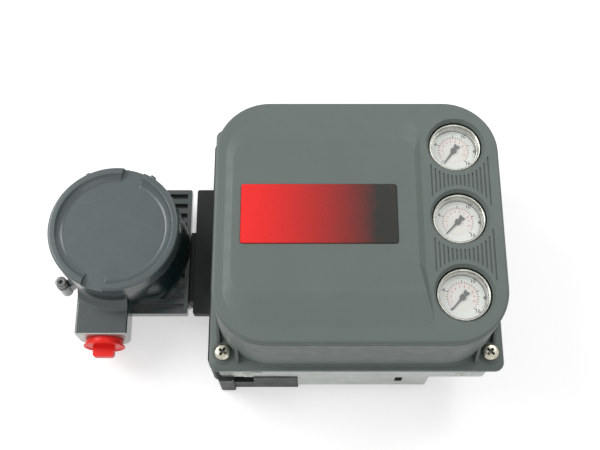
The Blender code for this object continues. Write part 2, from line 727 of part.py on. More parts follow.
def corner_gussets(side, end):
    """The two webs beside one cover screw, at one of the flange's corners."""
    arc_x = DOME_WIDTH / 2 - DOME_RADIUS
    arc_y = DOME_LENGTH / 2 - DOME_RADIUS
    inner_x = COVER_SCREW_X - COVER_SCREW_HEAD_RADIUS - GUSSET_INSET
    reach = math.sqrt(DOME_RADIUS ** 2 - (inner_x - arc_x) ** 2)
    inner_y = DOME_SHIFT + end * (arc_y + reach - DOME_WALL / 2)
    outer_x = DOME_WIDTH / 2 - GUSSET_THICKNESS / 2
    outer_y = DOME_SHIFT + end * (arc_y + GUSSET_SHIFT)
    border_y = end * (FLANGE_LENGTH / 2 - FLANGE_BORDER)
    screw_y = end * (COVER_SCREW_Y - COVER_SCREW_HEAD_RADIUS - GUSSET_GAP)
    return [gusset(side * inner_x, inner_y, border_y), gusset(side * outer_x, outer_y, screw_y)]


def groove_cutter():
    """The upright grooves of the panel, which stop short of each gauge."""
    bm = bmesh.new()
    clear = GAUGE_RADIUS + GROOVE_MARGIN
    first = GAUGE_X - GROOVE_PITCH * (GROOVE_COUNT - 1) / 2 + GROOVE_SHIFT
    for column in range(GROOVE_COUNT):
        x = first + column * GROOVE_PITCH
        away = abs(x - GAUGE_X)
        half = math.sqrt(max(clear ** 2 - away ** 2, 0))
        for upper, lower in zip(GAUGE_ROWS, GAUGE_ROWS[1:]):
            high = upper - half
            low = lower + half
            made = bmesh.ops.create_cube(bm, size=1.0)["verts"]
            bmesh.ops.scale(bm, vec=(GROOVE_WIDTH, high - low, 2 * GROOVE_DEPTH), verts=made)
            bmesh.ops.translate(bm, vec=(x, (high + low) / 2, DOME_TOP), verts=made)
    return bm


def gauge_window(y):
    """The opening for one gauge, with a countersunk front edge."""
    radius = GAUGE_RADIUS + 2 * GAP
    flare = GAUGE_WINDOW_FLARE
    profile = [(0, FLANGE_FRONT), (radius, FLANGE_FRONT), (radius, DOME_TOP - flare),
               (radius + 2 * flare, DOME_TOP + flare), (0, DOME_TOP + flare)]
    return turned(profile, FINE, (GAUGE_X, y, 0))


def flange_groove():
    """The shallow line that divides the flange's face from its border."""
    inset = FLANGE_BORDER
    depth = FLANGE_LINE_DEPTH
    outer = rounded_rectangle(FLANGE_WIDTH - 2 * inset, FLANGE_LENGTH - 2 * inset,
                              FLANGE_RADIUS - inset / 2)
    past = inset + FLANGE_LINE_WIDTH
    inner = rounded_rectangle(FLANGE_WIDTH - 2 * past, FLANGE_LENGTH - 2 * past,
                              FLANGE_RADIUS - inset / 2 - FLANGE_LINE_WIDTH)
    ring = solid(prism(outer, FLANGE_FRONT - depth, FLANGE_FRONT + depth), "ring")
    cut(ring, prism(inner, FLANGE_FRONT - 2 * depth, FLANGE_FRONT + 2 * depth))
    bm = bmesh.new()
    bm.from_mesh(ring.data)
    bpy.data.objects.remove(ring)
    return bm


def make_cover(material):
    """The moulded cover: flange, dome, raised field, webs, gauge windows and screw holes."""
    plate = loft([(rounded_rectangle(FLANGE_WIDTH, FLANGE_LENGTH, FLANGE_RADIUS), COVER_BOTTOM),
                  (rounded_rectangle(FLANGE_WIDTH, FLANGE_LENGTH, FLANGE_RADIUS),
                   FLANGE_FRONT - FLANGE_EDGE),
                  (rounded_rectangle(FLANGE_WIDTH - 2 * FLANGE_EDGE, FLANGE_LENGTH - 2 * FLANGE_EDGE,
                                     FLANGE_RADIUS - FLANGE_EDGE), FLANGE_FRONT)])
    cover = solid(plate, "cover", material)
    cut(cover, flange_groove())
    for x, y in corner_points(COVER_SCREW_X, COVER_SCREW_Y):
        join(cover, rod((x, y, 0), (0, 0, 1), COVER_BOTTOM + FLANGE_THICKNESS / 2, SCREW_SEAT,
                        CORNER_BOSS_RADIUS, SMALL))
    join(cover, dome_skin(), plateau())
    for side in (-1, 1):
        for end in (-1, 1):
            join(cover, *corner_gussets(side, end))
    cut(cover, dome_hollow(), groove_cutter(), label_recess())
    for y in GAUGE_ROWS:
        cut(cover, gauge_window(y))
    hole = COVER_SCREW_RADIUS + SCREW_CLEARANCE
    for x, y in corner_points(COVER_SCREW_X, COVER_SCREW_Y):
        cut(cover, rod((x, y, 0), (0, 0, 1), COVER_BOTTOM - OVER, FLANGE_FRONT + OVER, hole, TINY))
    dress(cover, material, smooth=True)
    return cover


def label_outline(growth):
    """The label plate's outline, grown by its seat clearance."""
    return rounded_rectangle(LABEL_WIDTH + 2 * growth, LABEL_LENGTH + 2 * growth, LABEL_CORNER + growth,
                             (LABEL_X, LABEL_Y), 3)


def label_recess():
    """The shallow seat of the label plate in the raised field."""
    return prism(label_outline(GAP), PLATEAU_TOP - LABEL_RECESS, PLATEAU_TOP + LABEL_RECESS)


def make_label(material):
    """The label plate, which stands a little proud of its seat."""
    bottom = PLATEAU_TOP - LABEL_RECESS + GAP
    return solid(prism(label_outline(0), bottom, bottom + LABEL_THICKNESS), "label_plate", material)


def make_cover_screws(material):
    """The four captive screws of the cover."""
    names = ("cover_screw_top_left", "cover_screw_top_right", "cover_screw_bottom_left",
             "cover_screw_bottom_right")
    for name, (x, y) in zip(names, corner_points(COVER_SCREW_X, COVER_SCREW_Y)):
        pan_screw(name, (x, y, SCREW_SEAT + GAP), (0, 0, 1), material, COVER_SCREW_RADIUS,
                  COVER_SCREW_HEAD_RADIUS, COVER_SCREW_HEAD_HEIGHT, COVER_SCREW_LENGTH)


def make_cover_seal(material):
    """The flat seal between the cover's flange and the module base."""
    growth = DOME_DRAFT - DOME_WALL + SEAL_INSET
    top = SEAL_BOTTOM + SEAL_THICKNESS
    seal = solid(prism(dome_outline(growth + SEAL_WIDTH), SEAL_BOTTOM, top), "cover_seal", material)
    cut(seal, prism(dome_outline(growth), SEAL_BOTTOM - OVER, top + OVER))
    dress(seal, material, smooth=True)
    return seal


def module_screw_points():
    """Where the screws that hold the module base to the housing stand."""
    left = MODULE_LEFT + MODULE_WALL + MODULE_SCREW_LEFT
    right = HOUSING_RIGHT - HOUSING_WALL - MODULE_SCREW_RIGHT
    side = MODULE_SIDE - MODULE_WALL - MODULE_SCREW_SIDE
    return [(left, side), (left, -side), (right, side)]


def make_module_base(material):
    """The module base: a cast tray with a screw plate, pressure ports and a skirt."""
    plate = rounded_rectangle(FLANGE_WIDTH - 2 * MODULE_EDGE, FLANGE_LENGTH - 2 * MODULE_EDGE,
                              FLANGE_RADIUS - MODULE_EDGE / 2)
    base = solid(prism(plate, PLATE_BOTTOM, MODULE_TOP), "module_base", material)
    body = soft_block((MODULE_LEFT, MODULE_RIGHT), (-MODULE_SIDE, MODULE_SIDE),
                      (MODULE_BOTTOM, PLATE_BOTTOM + MODULE_PLATE_THICKNESS / 2), MODULE_CORNER)
    skirt = block((WINDOW_LEFT + GAP, HOUSING_RIGHT), (-MODULE_SIDE, -skirt_inside()),
                  (WINDOW_SILL + GAP, MODULE_BOTTOM + OVER))
    join(base, body, skirt)
    for x, y in corner_points(COVER_SCREW_X, COVER_SCREW_Y):
        join(base, rod((x, y, 0), (0, 0, 1), PLATE_BOTTOM - 0.0050, PLATE_BOTTOM + OVER,
                       COVER_SCREW_RADIUS + SCREW_BOSS_WALL, SMALL))
    cut(base, soft_block((MODULE_RECESS_LEFT, MODULE_RECESS_RIGHT),
                         (-MODULE_RECESS_SIDE, MODULE_RECESS_SIDE),
                         (MODULE_SEAT, MODULE_TOP + OVER), 0.004))
    cut_ports(base)
    cut_module_details(base)
    hole = COVER_SCREW_RADIUS + SCREW_CLEARANCE
    for x, y in corner_points(COVER_SCREW_X, COVER_SCREW_Y):
        cut(base, rod((x, y, 0), (0, 0, 1), PLATE_BOTTOM - 0.0060, MODULE_TOP + OVER, hole, TINY))
    for y in GAUGE_ROWS:
        cut(base, rod((GAUGE_X, y, 0), (0, 0, 1), MODULE_TOP - gauge_seat(), MODULE_TOP + OVER,
                      GAUGE_STEM_RADIUS + GAP, SMALL))
    dress(base, material, smooth=True)
    return base


def skirt_inside():
    """How far from the middle the inner face of the housing's lower wall lies."""
    return HOUSING_SIDE - HOUSING_WALL + GAP


def gauge_seat():
    """How deep a gauge stem sits in the module base, above the pressure port."""
    return MODULE_TOP - PORT_Z - PORT_RADIUS - GAUGE_PORT_WALL


def cut_ports(base):
    """Cut the three pressure ports and the two regulator bolt holes into the right-hand face."""
    for y in GAUGE_ROWS:
        cut(base, rod((MODULE_RIGHT, y, PORT_Z), (-1, 0, 0), -OVER, PORT_DEPTH, PORT_RADIUS, SMALL))
    for end in (-1, 1):
        y = GAUGE_SHIFT + end * PORT_BOLT_SPACING / 2
        cut(base, rod((MODULE_RIGHT, y, PORT_Z), (-1, 0, 0), -OVER, PORT_BOLT_DEPTH,
                      PORT_BOLT_RADIUS, TINY))


def cut_module_details(base):
    """Cut the parting grooves and the key slot of the lower face, and the screw holes."""
    face = -MODULE_SIDE
    groove = MODULE_GROOVE
    height = MODULE_BOTTOM + MODULE_GROOVE_HEIGHT
    step = height + MODULE_GROOVE_STEP
    cut(base, block((MODULE_LEFT - OVER, MODULE_LEFT + MODULE_GROOVE_LEFT), (face - OVER, face + groove),
                    (height, height + groove)),
        block((MODULE_RIGHT - MODULE_GROOVE_RIGHT, MODULE_RIGHT + OVER), (face - OVER, face + groove),
              (step, step + groove)))
    key_left = HOUSING_RIGHT - MODULE_KEY_INSET
    cut(base, block((key_left, key_left + MODULE_KEY_WIDTH), (face - OVER, face + MODULE_KEY_DEPTH),
                    (WINDOW_SILL + MODULE_KEY_RISE, MODULE_BOTTOM - MODULE_CORNER)))
    for left, bottom in ((MODULE_TAB_LEFT, height - OVER), (MODULE_TAB_RIGHT, height + MODULE_CORNER)):
        join(base, block((left, left + MODULE_TAB_WIDTH), (face - MODULE_TAB, face + OVER),
                         (bottom, bottom + MODULE_TAB_HEIGHT)))
    for x, y in module_screw_points():
        cut(base, rod((x, y, 0), (0, 0, 1), MODULE_BOTTOM - OVER, MODULE_SEAT + OVER,
                      MODULE_SCREW_RADIUS + SCREW_CLEARANCE, TINY))
    for x, y in converter_screw_points() + relay_screw_points() + tray_screw_points():
        cut(base, rod((x, y, 0), (0, 0, 1), MODULE_SEAT - 0.0045, MODULE_SEAT + OVER,
                      SMALL_SCREW_RADIUS + SCREW_CLEARANCE, TINY))


def make_module_screws(material):
    """The three screws that hold the module base to the housing."""
    for index, (x, y) in enumerate(module_screw_points()):
        pan_screw(f"module_base_screw_{index + 1}", (x, y, MODULE_SEAT + GAP), (0, 0, 1), material,
                  MODULE_SCREW_RADIUS, MODULE_SCREW_HEAD_RADIUS, MODULE_SCREW_HEAD_HEIGHT,
                  MODULE_SCREW_LENGTH, TINY)


def mount_points():
    """Where the four mounting holes of the back face stand."""
    x = MOUNT_SPACING_X / 2
    return [(CHANNEL_X + side, end) for side, end in corner_points(x, MOUNT_SPACING_Y / 2)]


def box_screw_rows():
    """Where the three screws that hold the terminal box stand along the joint."""
    return [PAD_Y + BOX_SCREW_SPACING * step for step in (-1, 0, 1)]


def make_housing(material):
    """The cast housing: a tray with a back channel, mounting bosses and the joint block."""
    wall_edge = MODULE_LEFT - GAP
    housing = solid(soft_block((wall_edge - OVER, HOUSING_RIGHT), (-HOUSING_SIDE, HOUSING_SIDE),
                               (0, HOUSING_DEPTH), HOUSING_CORNER), "housing", material)
    side = HOUSING_SIDE - HOUSING_SIDE_INSET
    join(housing, soft_block((HOUSING_LEFT, wall_edge), (-side, side),
                             (0, PLATE_BOTTOM - GAP), HOUSING_CORNER))
    join(housing, soft_block((LUG_LEFT, LUG_LEFT + LUG_WIDTH),
                             (-HOUSING_SIDE - LUG_PROUD, -HOUSING_SIDE + HOUSING_SIDE_INSET),
                             (0, HOUSING_DEPTH), JOINT_EDGE))
    half = JOINT_BLOCK_LENGTH / 2
    join(housing, soft_block((JOINT_FACE, HOUSING_LEFT + JOINT_LAP),
                             (JOINT_BLOCK_Y - half, JOINT_BLOCK_Y + half),
                             (JOINT_PLATE_BACK, JOINT_BLOCK_FRONT), JOINT_EDGE))
    pad = PAD_LENGTH / 2
    join(housing, block((RIB_BLOCK_RIGHT + GAP, HOUSING_LEFT + JOINT_LAP), (PAD_Y - pad, PAD_Y + pad),
                        (JOINT_BLOCK_BACK + JOINT_LAP, JOINT_BLOCK_FRONT - JOINT_LAP)))
    hollow_housing(housing)
    cut_housing_details(housing)
    dress(housing, material, smooth=True)
    return housing


def hollow_housing(housing):
    """Hollow the housing from the front, and leave the channel's walls and the bosses."""
    inner = HOUSING_SIDE - HOUSING_WALL
    left = MODULE_LEFT + HOUSING_WALL
    cut(housing, soft_block((left, HOUSING_RIGHT - HOUSING_WALL), (-inner, inner),
                            (HOUSING_FLOOR, HOUSING_DEPTH + OVER), HOUSING_INNER_CORNER))
    half = CHANNEL_WIDTH / 2
    join(housing, block((CHANNEL_X - half - CHANNEL_WALL, CHANNEL_X + half + CHANNEL_WALL),
                        (CHANNEL_END - CHANNEL_WALL, HOUSING_SIDE),
                        (0, CHANNEL_DEPTH + CHANNEL_WALL)))
    for x, y in mount_points():
        join(housing, rod((x, y, 0), (0, 0, 1), 0, MOUNT_HOLE_DEPTH + MOUNT_BOSS_FLOOR,
                          MOUNT_BOSS_RADIUS, SMALL))
    for x, y in module_screw_points():
        join(housing, rod((x, y, 0), (0, 0, 1), OVER, HOUSING_DEPTH, MODULE_SCREW_BOSS, SMALL))
    cut(housing, block((CHANNEL_X - half, CHANNEL_X + half), (CHANNEL_END, HOUSING_SIDE + OVER),
                       (-OVER, CHANNEL_DEPTH)))


def cut_housing_details(housing):
    """Cut the lower window, the notch, the mounting and screw holes and the vent."""
    face = -HOUSING_SIDE
    cut(housing, block((WINDOW_LEFT, HOUSING_RIGHT + OVER),
                       (face - OVER, face + HOUSING_WALL + WINDOW_STEP),
                       (WINDOW_SILL, HOUSING_DEPTH + OVER)))
    cut(housing, block((WINDOW_LEFT + SILL_STEP, HOUSING_RIGHT + OVER),
                       (face - OVER, face + SILL_RECESS),
                       (-OVER, WINDOW_SILL + OVER)))
    notch = LUG_LEFT + LUG_WIDTH
    cut(housing, block((notch, notch + NOTCH_WIDTH), (face - LUG_PROUD - OVER, face + NOTCH_DEPTH),
                       (HOUSING_DEPTH * 0.55, HOUSING_DEPTH + OVER)))
    for x, y in mount_points():
        cut(housing, rod((x, y, 0), (0, 0, 1), -OVER, MOUNT_HOLE_DEPTH, MOUNT_HOLE_RADIUS, TINY))
    for x, y in module_screw_points():
        cut(housing, rod((x, y, 0), (0, 0, 1), HOUSING_DEPTH - MODULE_SCREW_HOLE, HOUSING_DEPTH + OVER,
                         MODULE_SCREW_RADIUS + SCREW_CLEARANCE, TINY))
    for y in box_screw_rows():
        cut(housing, rod((RIB_BLOCK_RIGHT, y, JOINT_MIDDLE_Z), (1, 0, 0), -OVER,
                         MODULE_LEFT + HOUSING_WALL - RIB_BLOCK_RIGHT + OVER,
                         BOX_SCREW_RADIUS + SCREW_CLEARANCE, TINY))
    cut(housing, rod((VENT_X, HOUSING_SIDE, HOUSING_DEPTH / 2), (0, -1, 0), -OVER,
                     HOUSING_WALL + OVER, VENT_RADIUS, SMALL))


def make_vent_screen(material):
    """The plug with a screen that sits in the housing's vent."""
    radius = VENT_RADIUS - GAP
    profile = [(0, VENT_SCREEN_DISH), (radius * 0.7, VENT_SCREEN_DISH), (radius * 0.7, 0), (radius, 0),
               (radius, VENT_SCREEN_THICKNESS), (0, VENT_SCREEN_THICKNESS)]
    origin = (VENT_X, HOUSING_SIDE - VENT_SCREEN_INSET, HOUSING_DEPTH / 2)
    return solid(turned(profile, SMALL, origin, (0, -1, 0)), "vent_screen", material, origin)


def make_box_screws(material):
    """The three screws that hold the terminal box to the housing, from inside."""
    seat = MODULE_LEFT + HOUSING_WALL
    length = seat - RIB_BLOCK_RIGHT + BOX_SCREW_GRIP
    for index, y in enumerate(box_screw_rows()):
        socket_screw(f"terminal_box_screw_{index + 1}", (seat + GAP, y, JOINT_MIDDLE_Z), (1, 0, 0),
                     material, BOX_SCREW_RADIUS, BOX_SCREW_HEAD_RADIUS, BOX_SCREW_HEAD_HEIGHT, length)


def at_box(radius, angle, z):
    """A point around the terminal box's axis."""
    return (BOX_X + radius * math.cos(angle), BOX_Y + radius * math.sin(angle), z)


def shoulder():
    """The part of the box body that swells towards the housing and meets the ribbed block."""
    spread = math.radians(62)
    steps = 16
    outline = [(BOX_X, BOX_Y)]
    for step in range(steps + 1):
        angle = -spread + 2 * spread * step / steps
        x, y, _ = at_box(SHOULDER_RADIUS, angle, 0)
        outline.append((min(x, RIB_BLOCK_RIGHT), y))
    return prism(outline, SHOULDER_BACK, SHOULDER_FRONT)


def conduit_boss():
    """The square conduit boss: rounded at the front and widely chamfered at the back."""
    low = -BOSS_HEIGHT / 2
    high = BOSS_HEIGHT / 2
    side = BOSS_WIDTH / 2
    corners = [(-side, low, BOSS_CHAMFER), (side, low, BOSS_CHAMFER), (side, high, BOSS_ROUND),
               (-side, high, BOSS_ROUND)]
    bm = prism(rounded_polygon(corners, 6), 0, BOSS_REACH - BOX_RADIUS * 0.5)
    bmesh.ops.transform(bm, matrix=Matrix.Rotation(math.radians(90), 4, 'X'), verts=bm.verts)
    end = BOX_Y - BOX_RADIUS * 0.5
    bmesh.ops.translate(bm, vec=(BOSS_X, end, CONDUIT_Z), verts=bm.verts)
    return bm


def rib_slots():
    """The row of slots that leaves ribs across the box's joint block."""
    bm = bmesh.new()
    count = int(JOINT_BLOCK_LENGTH / RIB_PITCH)
    first = JOINT_BLOCK_Y - RIB_PITCH * (count - 1) / 2
    left = RIB_BLOCK_LEFT - OVER
    right = RIB_BLOCK_RIGHT - RIB_BORDER
    for index in range(count):
        made = bmesh.ops.create_cube(bm, size=1.0)["verts"]
        bmesh.ops.scale(bm, vec=(right - left, RIB_SLOT_WIDTH, 2 * RIB_SLOT_DEPTH), verts=made)
        bmesh.ops.translate(bm, vec=((left + right) / 2, first + index * RIB_PITCH,
                                     JOINT_BLOCK_FRONT), verts=made)
    return bm


def ground_lug():
    """The round lug beside the pot that holds the outer ground screw, and its web."""
    back = GROUND_Z - GROUND_LUG_LENGTH
    lug = rod(at_box(GROUND_REACH, GROUND_ANGLE, back), (0, 0, 1), 0, GROUND_LUG_LENGTH,
              GROUND_WASHER_RADIUS, SMALL)
    half = GROUND_WEB_WIDTH / 2
    foot = back + GROUND_WEB_STEP
    web = block((BOX_RADIUS - BOX_WALL / 2, GROUND_REACH), (-half, half), (foot, foot + GROUND_WEB_LENGTH))
    bmesh.ops.transform(web, matrix=Matrix.Rotation(GROUND_ANGLE, 4, 'Z'), verts=web.verts)
    bmesh.ops.translate(web, vec=(BOX_X, BOX_Y, 0), verts=web.verts)
    return [lug, web]


def make_terminal_box(material):
    """The terminal box: a round pot with a ribbed joint block, a shoulder and a conduit boss."""
    half = JOINT_BLOCK_LENGTH / 2
    box = solid(soft_block((RIB_BLOCK_LEFT, RIB_BLOCK_RIGHT),
                           (JOINT_BLOCK_Y - half, JOINT_BLOCK_Y + half),
                           (JOINT_PLATE_BACK, JOINT_BLOCK_FRONT), JOINT_EDGE), "terminal_box", material)
    cut(box, rib_slots())
    pad = PAD_LENGTH / 2
    join(box, soft_block((RIB_BLOCK_RIGHT - RIB_NECK_WIDTH, RIB_BLOCK_RIGHT),
                         (PAD_Y - pad, PAD_Y + pad),
                         (JOINT_BLOCK_BACK, JOINT_PLATE_BACK + OVER), JOINT_EDGE))
    pot = [(0, BOX_BACK), (BOX_RADIUS - BOX_BACK_EDGE, BOX_BACK),
           (BOX_RADIUS - BOX_DRAFT, BOX_BACK + BOX_BACK_EDGE),
           (BOX_RADIUS, BOX_TOP), (0, BOX_TOP)]
    join(box, shoulder(), turned(pot, FINE, (BOX_X, BOX_Y, 0)), conduit_boss())
    join(box, *ground_lug())
    lock = (math.cos(LOCK_ANGLE), math.sin(LOCK_ANGLE), 0)
    join(box, rod((BOX_X, BOX_Y, LOCK_Z), lock, BOX_RADIUS * 0.9,
                  CAP_RADIUS + LOCK_BOSS_PROUD, LOCK_BOSS_RADIUS, SMALL))
    mouth = CHAMBER_RADIUS + 2 * CAP_SEAL_RADIUS + GAP
    chamber = [(0, BOX_BACK + BOX_FLOOR), (CHAMBER_RADIUS, BOX_BACK + BOX_FLOOR),
               (CHAMBER_RADIUS, BOX_TOP - BOX_MOUTH_DEPTH), (mouth, BOX_TOP - BOX_MOUTH_DEPTH),
               (mouth, BOX_TOP + OVER), (0, BOX_TOP + OVER)]
    cut(box, rod((BOSS_X, BOSS_END, CONDUIT_Z), (0, 1, 0), -OVER, BOSS_REACH - CHAMBER_RADIUS * 0.75,
                 CONDUIT_RADIUS, ROUND),
        turned(chamber, FINE, (BOX_X, BOX_Y, 0)),
        rod(at_box(GROUND_REACH, GROUND_ANGLE, GROUND_Z), (0, 0, -1), -OVER, GROUND_HOLE_DEPTH,
            GROUND_SHANK_RADIUS + SCREW_CLEARANCE, TINY),
        rod((BOX_X, BOX_Y, LOCK_Z), lock, CHAMBER_RADIUS + LOCK_HOLE_WALL, CAP_RADIUS + LOCK_HOLE_PAST,
            LOCK_SCREW_RADIUS + SCREW_CLEARANCE, TINY))
    for y in box_screw_rows():
        cut(box, rod((RIB_BLOCK_RIGHT, y, JOINT_MIDDLE_Z), (-1, 0, 0), -OVER, BOX_SCREW_HOLE,
                     BOX_SCREW_RADIUS + SCREW_CLEARANCE, TINY))
    for x, y in terminal_board_screws():
        cut(box, rod((x, y, BOX_BACK + BOX_FLOOR), (0, 0, -1), -OVER, BOARD_SCREW_HOLE,
                     BOARD_SCREW_RADIUS + SCREW_CLEARANCE, TINY))
    x, y = inner_ground_point()
    cut(box, rod((x, y, BOX_BACK + BOX_FLOOR), (0, 0, -1), -OVER, INNER_GROUND_HOLE,
                 INNER_GROUND_RADIUS + SCREW_CLEARANCE, TINY))
    dress(box, material, smooth=True)
    return box


def cap_profile():
    """Half the cap's section: thread ring, skirt, raised rim and sunken face."""
    thread = CHAMBER_RADIUS - GAP
    bore = thread - CAP_THREAD_WALL
    edge = CAP_RIM_ROUND / 2
    rim = CAP_RADIUS - CAP_RIM_WIDTH
    shelf = CAP_TOP - CAP_RIM_ROUND
    corner = CAP_RIM_ROUND * (1 - math.sqrt(0.5))
    return [(0, CAP_FACE - CAP_FLOOR), (bore - CAP_INNER_EDGE, CAP_FACE - CAP_FLOOR),
            (bore, CAP_FACE - CAP_FLOOR - CAP_INNER_EDGE), (bore, CAP_BOTTOM - CAP_THREAD_DEPTH),
            (thread, CAP_BOTTOM - CAP_THREAD_DEPTH), (thread, CAP_BOTTOM),
            (CAP_RADIUS, CAP_BOTTOM), (CAP_RADIUS, shelf), (CAP_RADIUS - corner, CAP_TOP - corner),
            (CAP_RADIUS - CAP_RIM_ROUND, CAP_TOP),
            (rim + edge / 2, CAP_TOP), (rim, CAP_TOP - edge / 2),
            (rim - CAP_RIM_SLOPE * 0.55, CAP_FACE + CAP_RIM_HEIGHT * 0.28),
            (rim - CAP_RIM_SLOPE, CAP_FACE), (0, CAP_FACE)]


def make_cap(material):
    """The screw cap of the terminal box, with two notches through its rim for a bar."""
    origin = (BOX_X, BOX_Y, CAP_BOTTOM)
    cap = solid(turned(cap_profile(), FINE, (BOX_X, BOX_Y, 0)), "terminal_box_cap", material, origin)
    for turn in (0, math.pi):
        angle = CAP_NOTCH_ANGLE + turn
        notch = block((CAP_RADIUS - CAP_RIM_WIDTH - CAP_RIM_SLOPE - OVER, CAP_RADIUS + OVER),
                      (-CAP_NOTCH_WIDTH / 2, CAP_NOTCH_WIDTH / 2), (CAP_FACE, CAP_TOP + OVER))
        bmesh.ops.transform(notch, matrix=Matrix.Rotation(angle, 4, 'Z'), verts=notch.verts)
        bmesh.ops.translate(notch, vec=(BOX_X, BOX_Y, 0), verts=notch.verts)
        cut(cap, notch)
    dress(cap, material, smooth=True)
    return cap


def make_cap_seal(material):
    """The O-ring under the cap, round the root of its thread."""
    ring = CHAMBER_RADIUS - GAP + CAP_SEAL_RADIUS + GAP
    middle = BOX_TOP - BOX_MOUTH_DEPTH + CAP_SEAL_RADIUS + GAP
    steps = 6
    profile = [(ring + CAP_SEAL_RADIUS * math.cos(math.tau * step / steps),
                middle + CAP_SEAL_RADIUS * math.sin(math.tau * step / steps))
               for step in range(steps)]
    origin = (BOX_X, BOX_Y, middle)
    return solid(turned(profile, ROUND, (BOX_X, BOX_Y, 0)), "cap_seal", material, origin, smooth=True)


def make_cap_lock(material):
    """The small set screw that locks the cap, in its boss beside the rim."""
    direction = (math.cos(LOCK_ANGLE), math.sin(LOCK_ANGLE), 0)
    origin = at_box(CAP_RADIUS + LOCK_SCREW_PROUD, LOCK_ANGLE, LOCK_Z)
    screw = solid(rod(origin, direction, -LOCK_SCREW_LENGTH, 0, LOCK_SCREW_RADIUS, TINY), "cap_lock_screw",
                  material, origin)
    cut(screw, rod(origin, direction, -LOCK_SOCKET_DEPTH, OVER, LOCK_SCREW_RADIUS * 0.5, 6))
    dress(screw, material, smooth=False)
    return screw


def make_conduit_plug(material):
    """The plastic thread protector in the conduit entry, with a ring and a grip tab."""
    origin = (BOSS_X, BOSS_END, CONDUIT_Z)
    body = CONDUIT_RADIUS - GAP
    bore = body - PLUG_WALL
    ring = PLUG_STAND + PLUG_RING_THICKNESS
    rim = PLUG_RING_RADIUS - PLUG_EDGE
    profile = [(0, -PLUG_TIP), (bore, -PLUG_TIP), (bore, -PLUG_DEPTH),
               (body - PLUG_EDGE, -PLUG_DEPTH), (body, PLUG_TIP - PLUG_DEPTH),
               (body, PLUG_STAND), (rim, PLUG_STAND),
               (PLUG_RING_RADIUS, PLUG_STAND + PLUG_RING_EDGE), (PLUG_RING_RADIUS, ring - PLUG_RING_EDGE),
               (rim, ring), (0, ring)]
    plug = solid(turned(profile, ROUND, origin, (0, -1, 0)), "conduit_plug", material, origin)
    tab = soft_block((-PLUG_TAB_WIDTH / 2, PLUG_TAB_WIDTH / 2),
                     (-PLUG_TAB_HEIGHT / 2, PLUG_TAB_HEIGHT / 2),
                     (PLUG_STAND + PLUG_TAB_STEP, ring + PLUG_TAB_REACH), PLUG_TAB_CORNER)
    join(plug, aim(tab, origin, (0, -1, 0)))
    dress(plug, material, smooth=True)
    return plug


def make_ground_screws(steel, brass):
    """The outer ground screw with its washer, and the one inside the terminal box."""
    thickness = GROUND_WASHER_THICKNESS
    washer = [(GROUND_SHANK_RADIUS + GAP, 0), (GROUND_WASHER_RADIUS, 0),
              (GROUND_WASHER_RADIUS, thickness), (GROUND_SHANK_RADIUS + GAP, thickness)]
    seat = at_box(GROUND_REACH, GROUND_ANGLE, GROUND_Z + GAP)
    solid(turned(washer, SMALL, seat), "ground_washer", steel, seat, smooth=True)
    head = at_box(GROUND_REACH, GROUND_ANGLE, GROUND_Z + 2 * GAP + thickness)
    socket_screw("ground_screw_outer", head, (0, 0, 1), steel, GROUND_SHANK_RADIUS,
                 GROUND_HEAD_RADIUS, GROUND_HEAD_LENGTH, GROUND_SCREW_LENGTH)
    x, y = inner_ground_point()
    pan_screw("ground_screw_inner", (x, y, BOX_BACK + BOX_FLOOR + GAP), (0, 0, 1), brass,
              INNER_GROUND_RADIUS, INNER_GROUND_HEAD_RADIUS, INNER_GROUND_HEAD_HEIGHT,
              INNER_GROUND_LENGTH, TINY)


def inner_ground_point():
    """Where the inner ground screw stands on the chamber's floor."""
    return BOX_X - CHAMBER_RADIUS + GROUND_INSET, BOX_Y - GROUND_SHIFT


def terminal_board_screws():
    """Where the two screws of the terminal board stand."""
    return [(TERMINAL_X + side * TERMINAL_SCREW_REACH, TERMINAL_Y) for side in (-1, 1)]


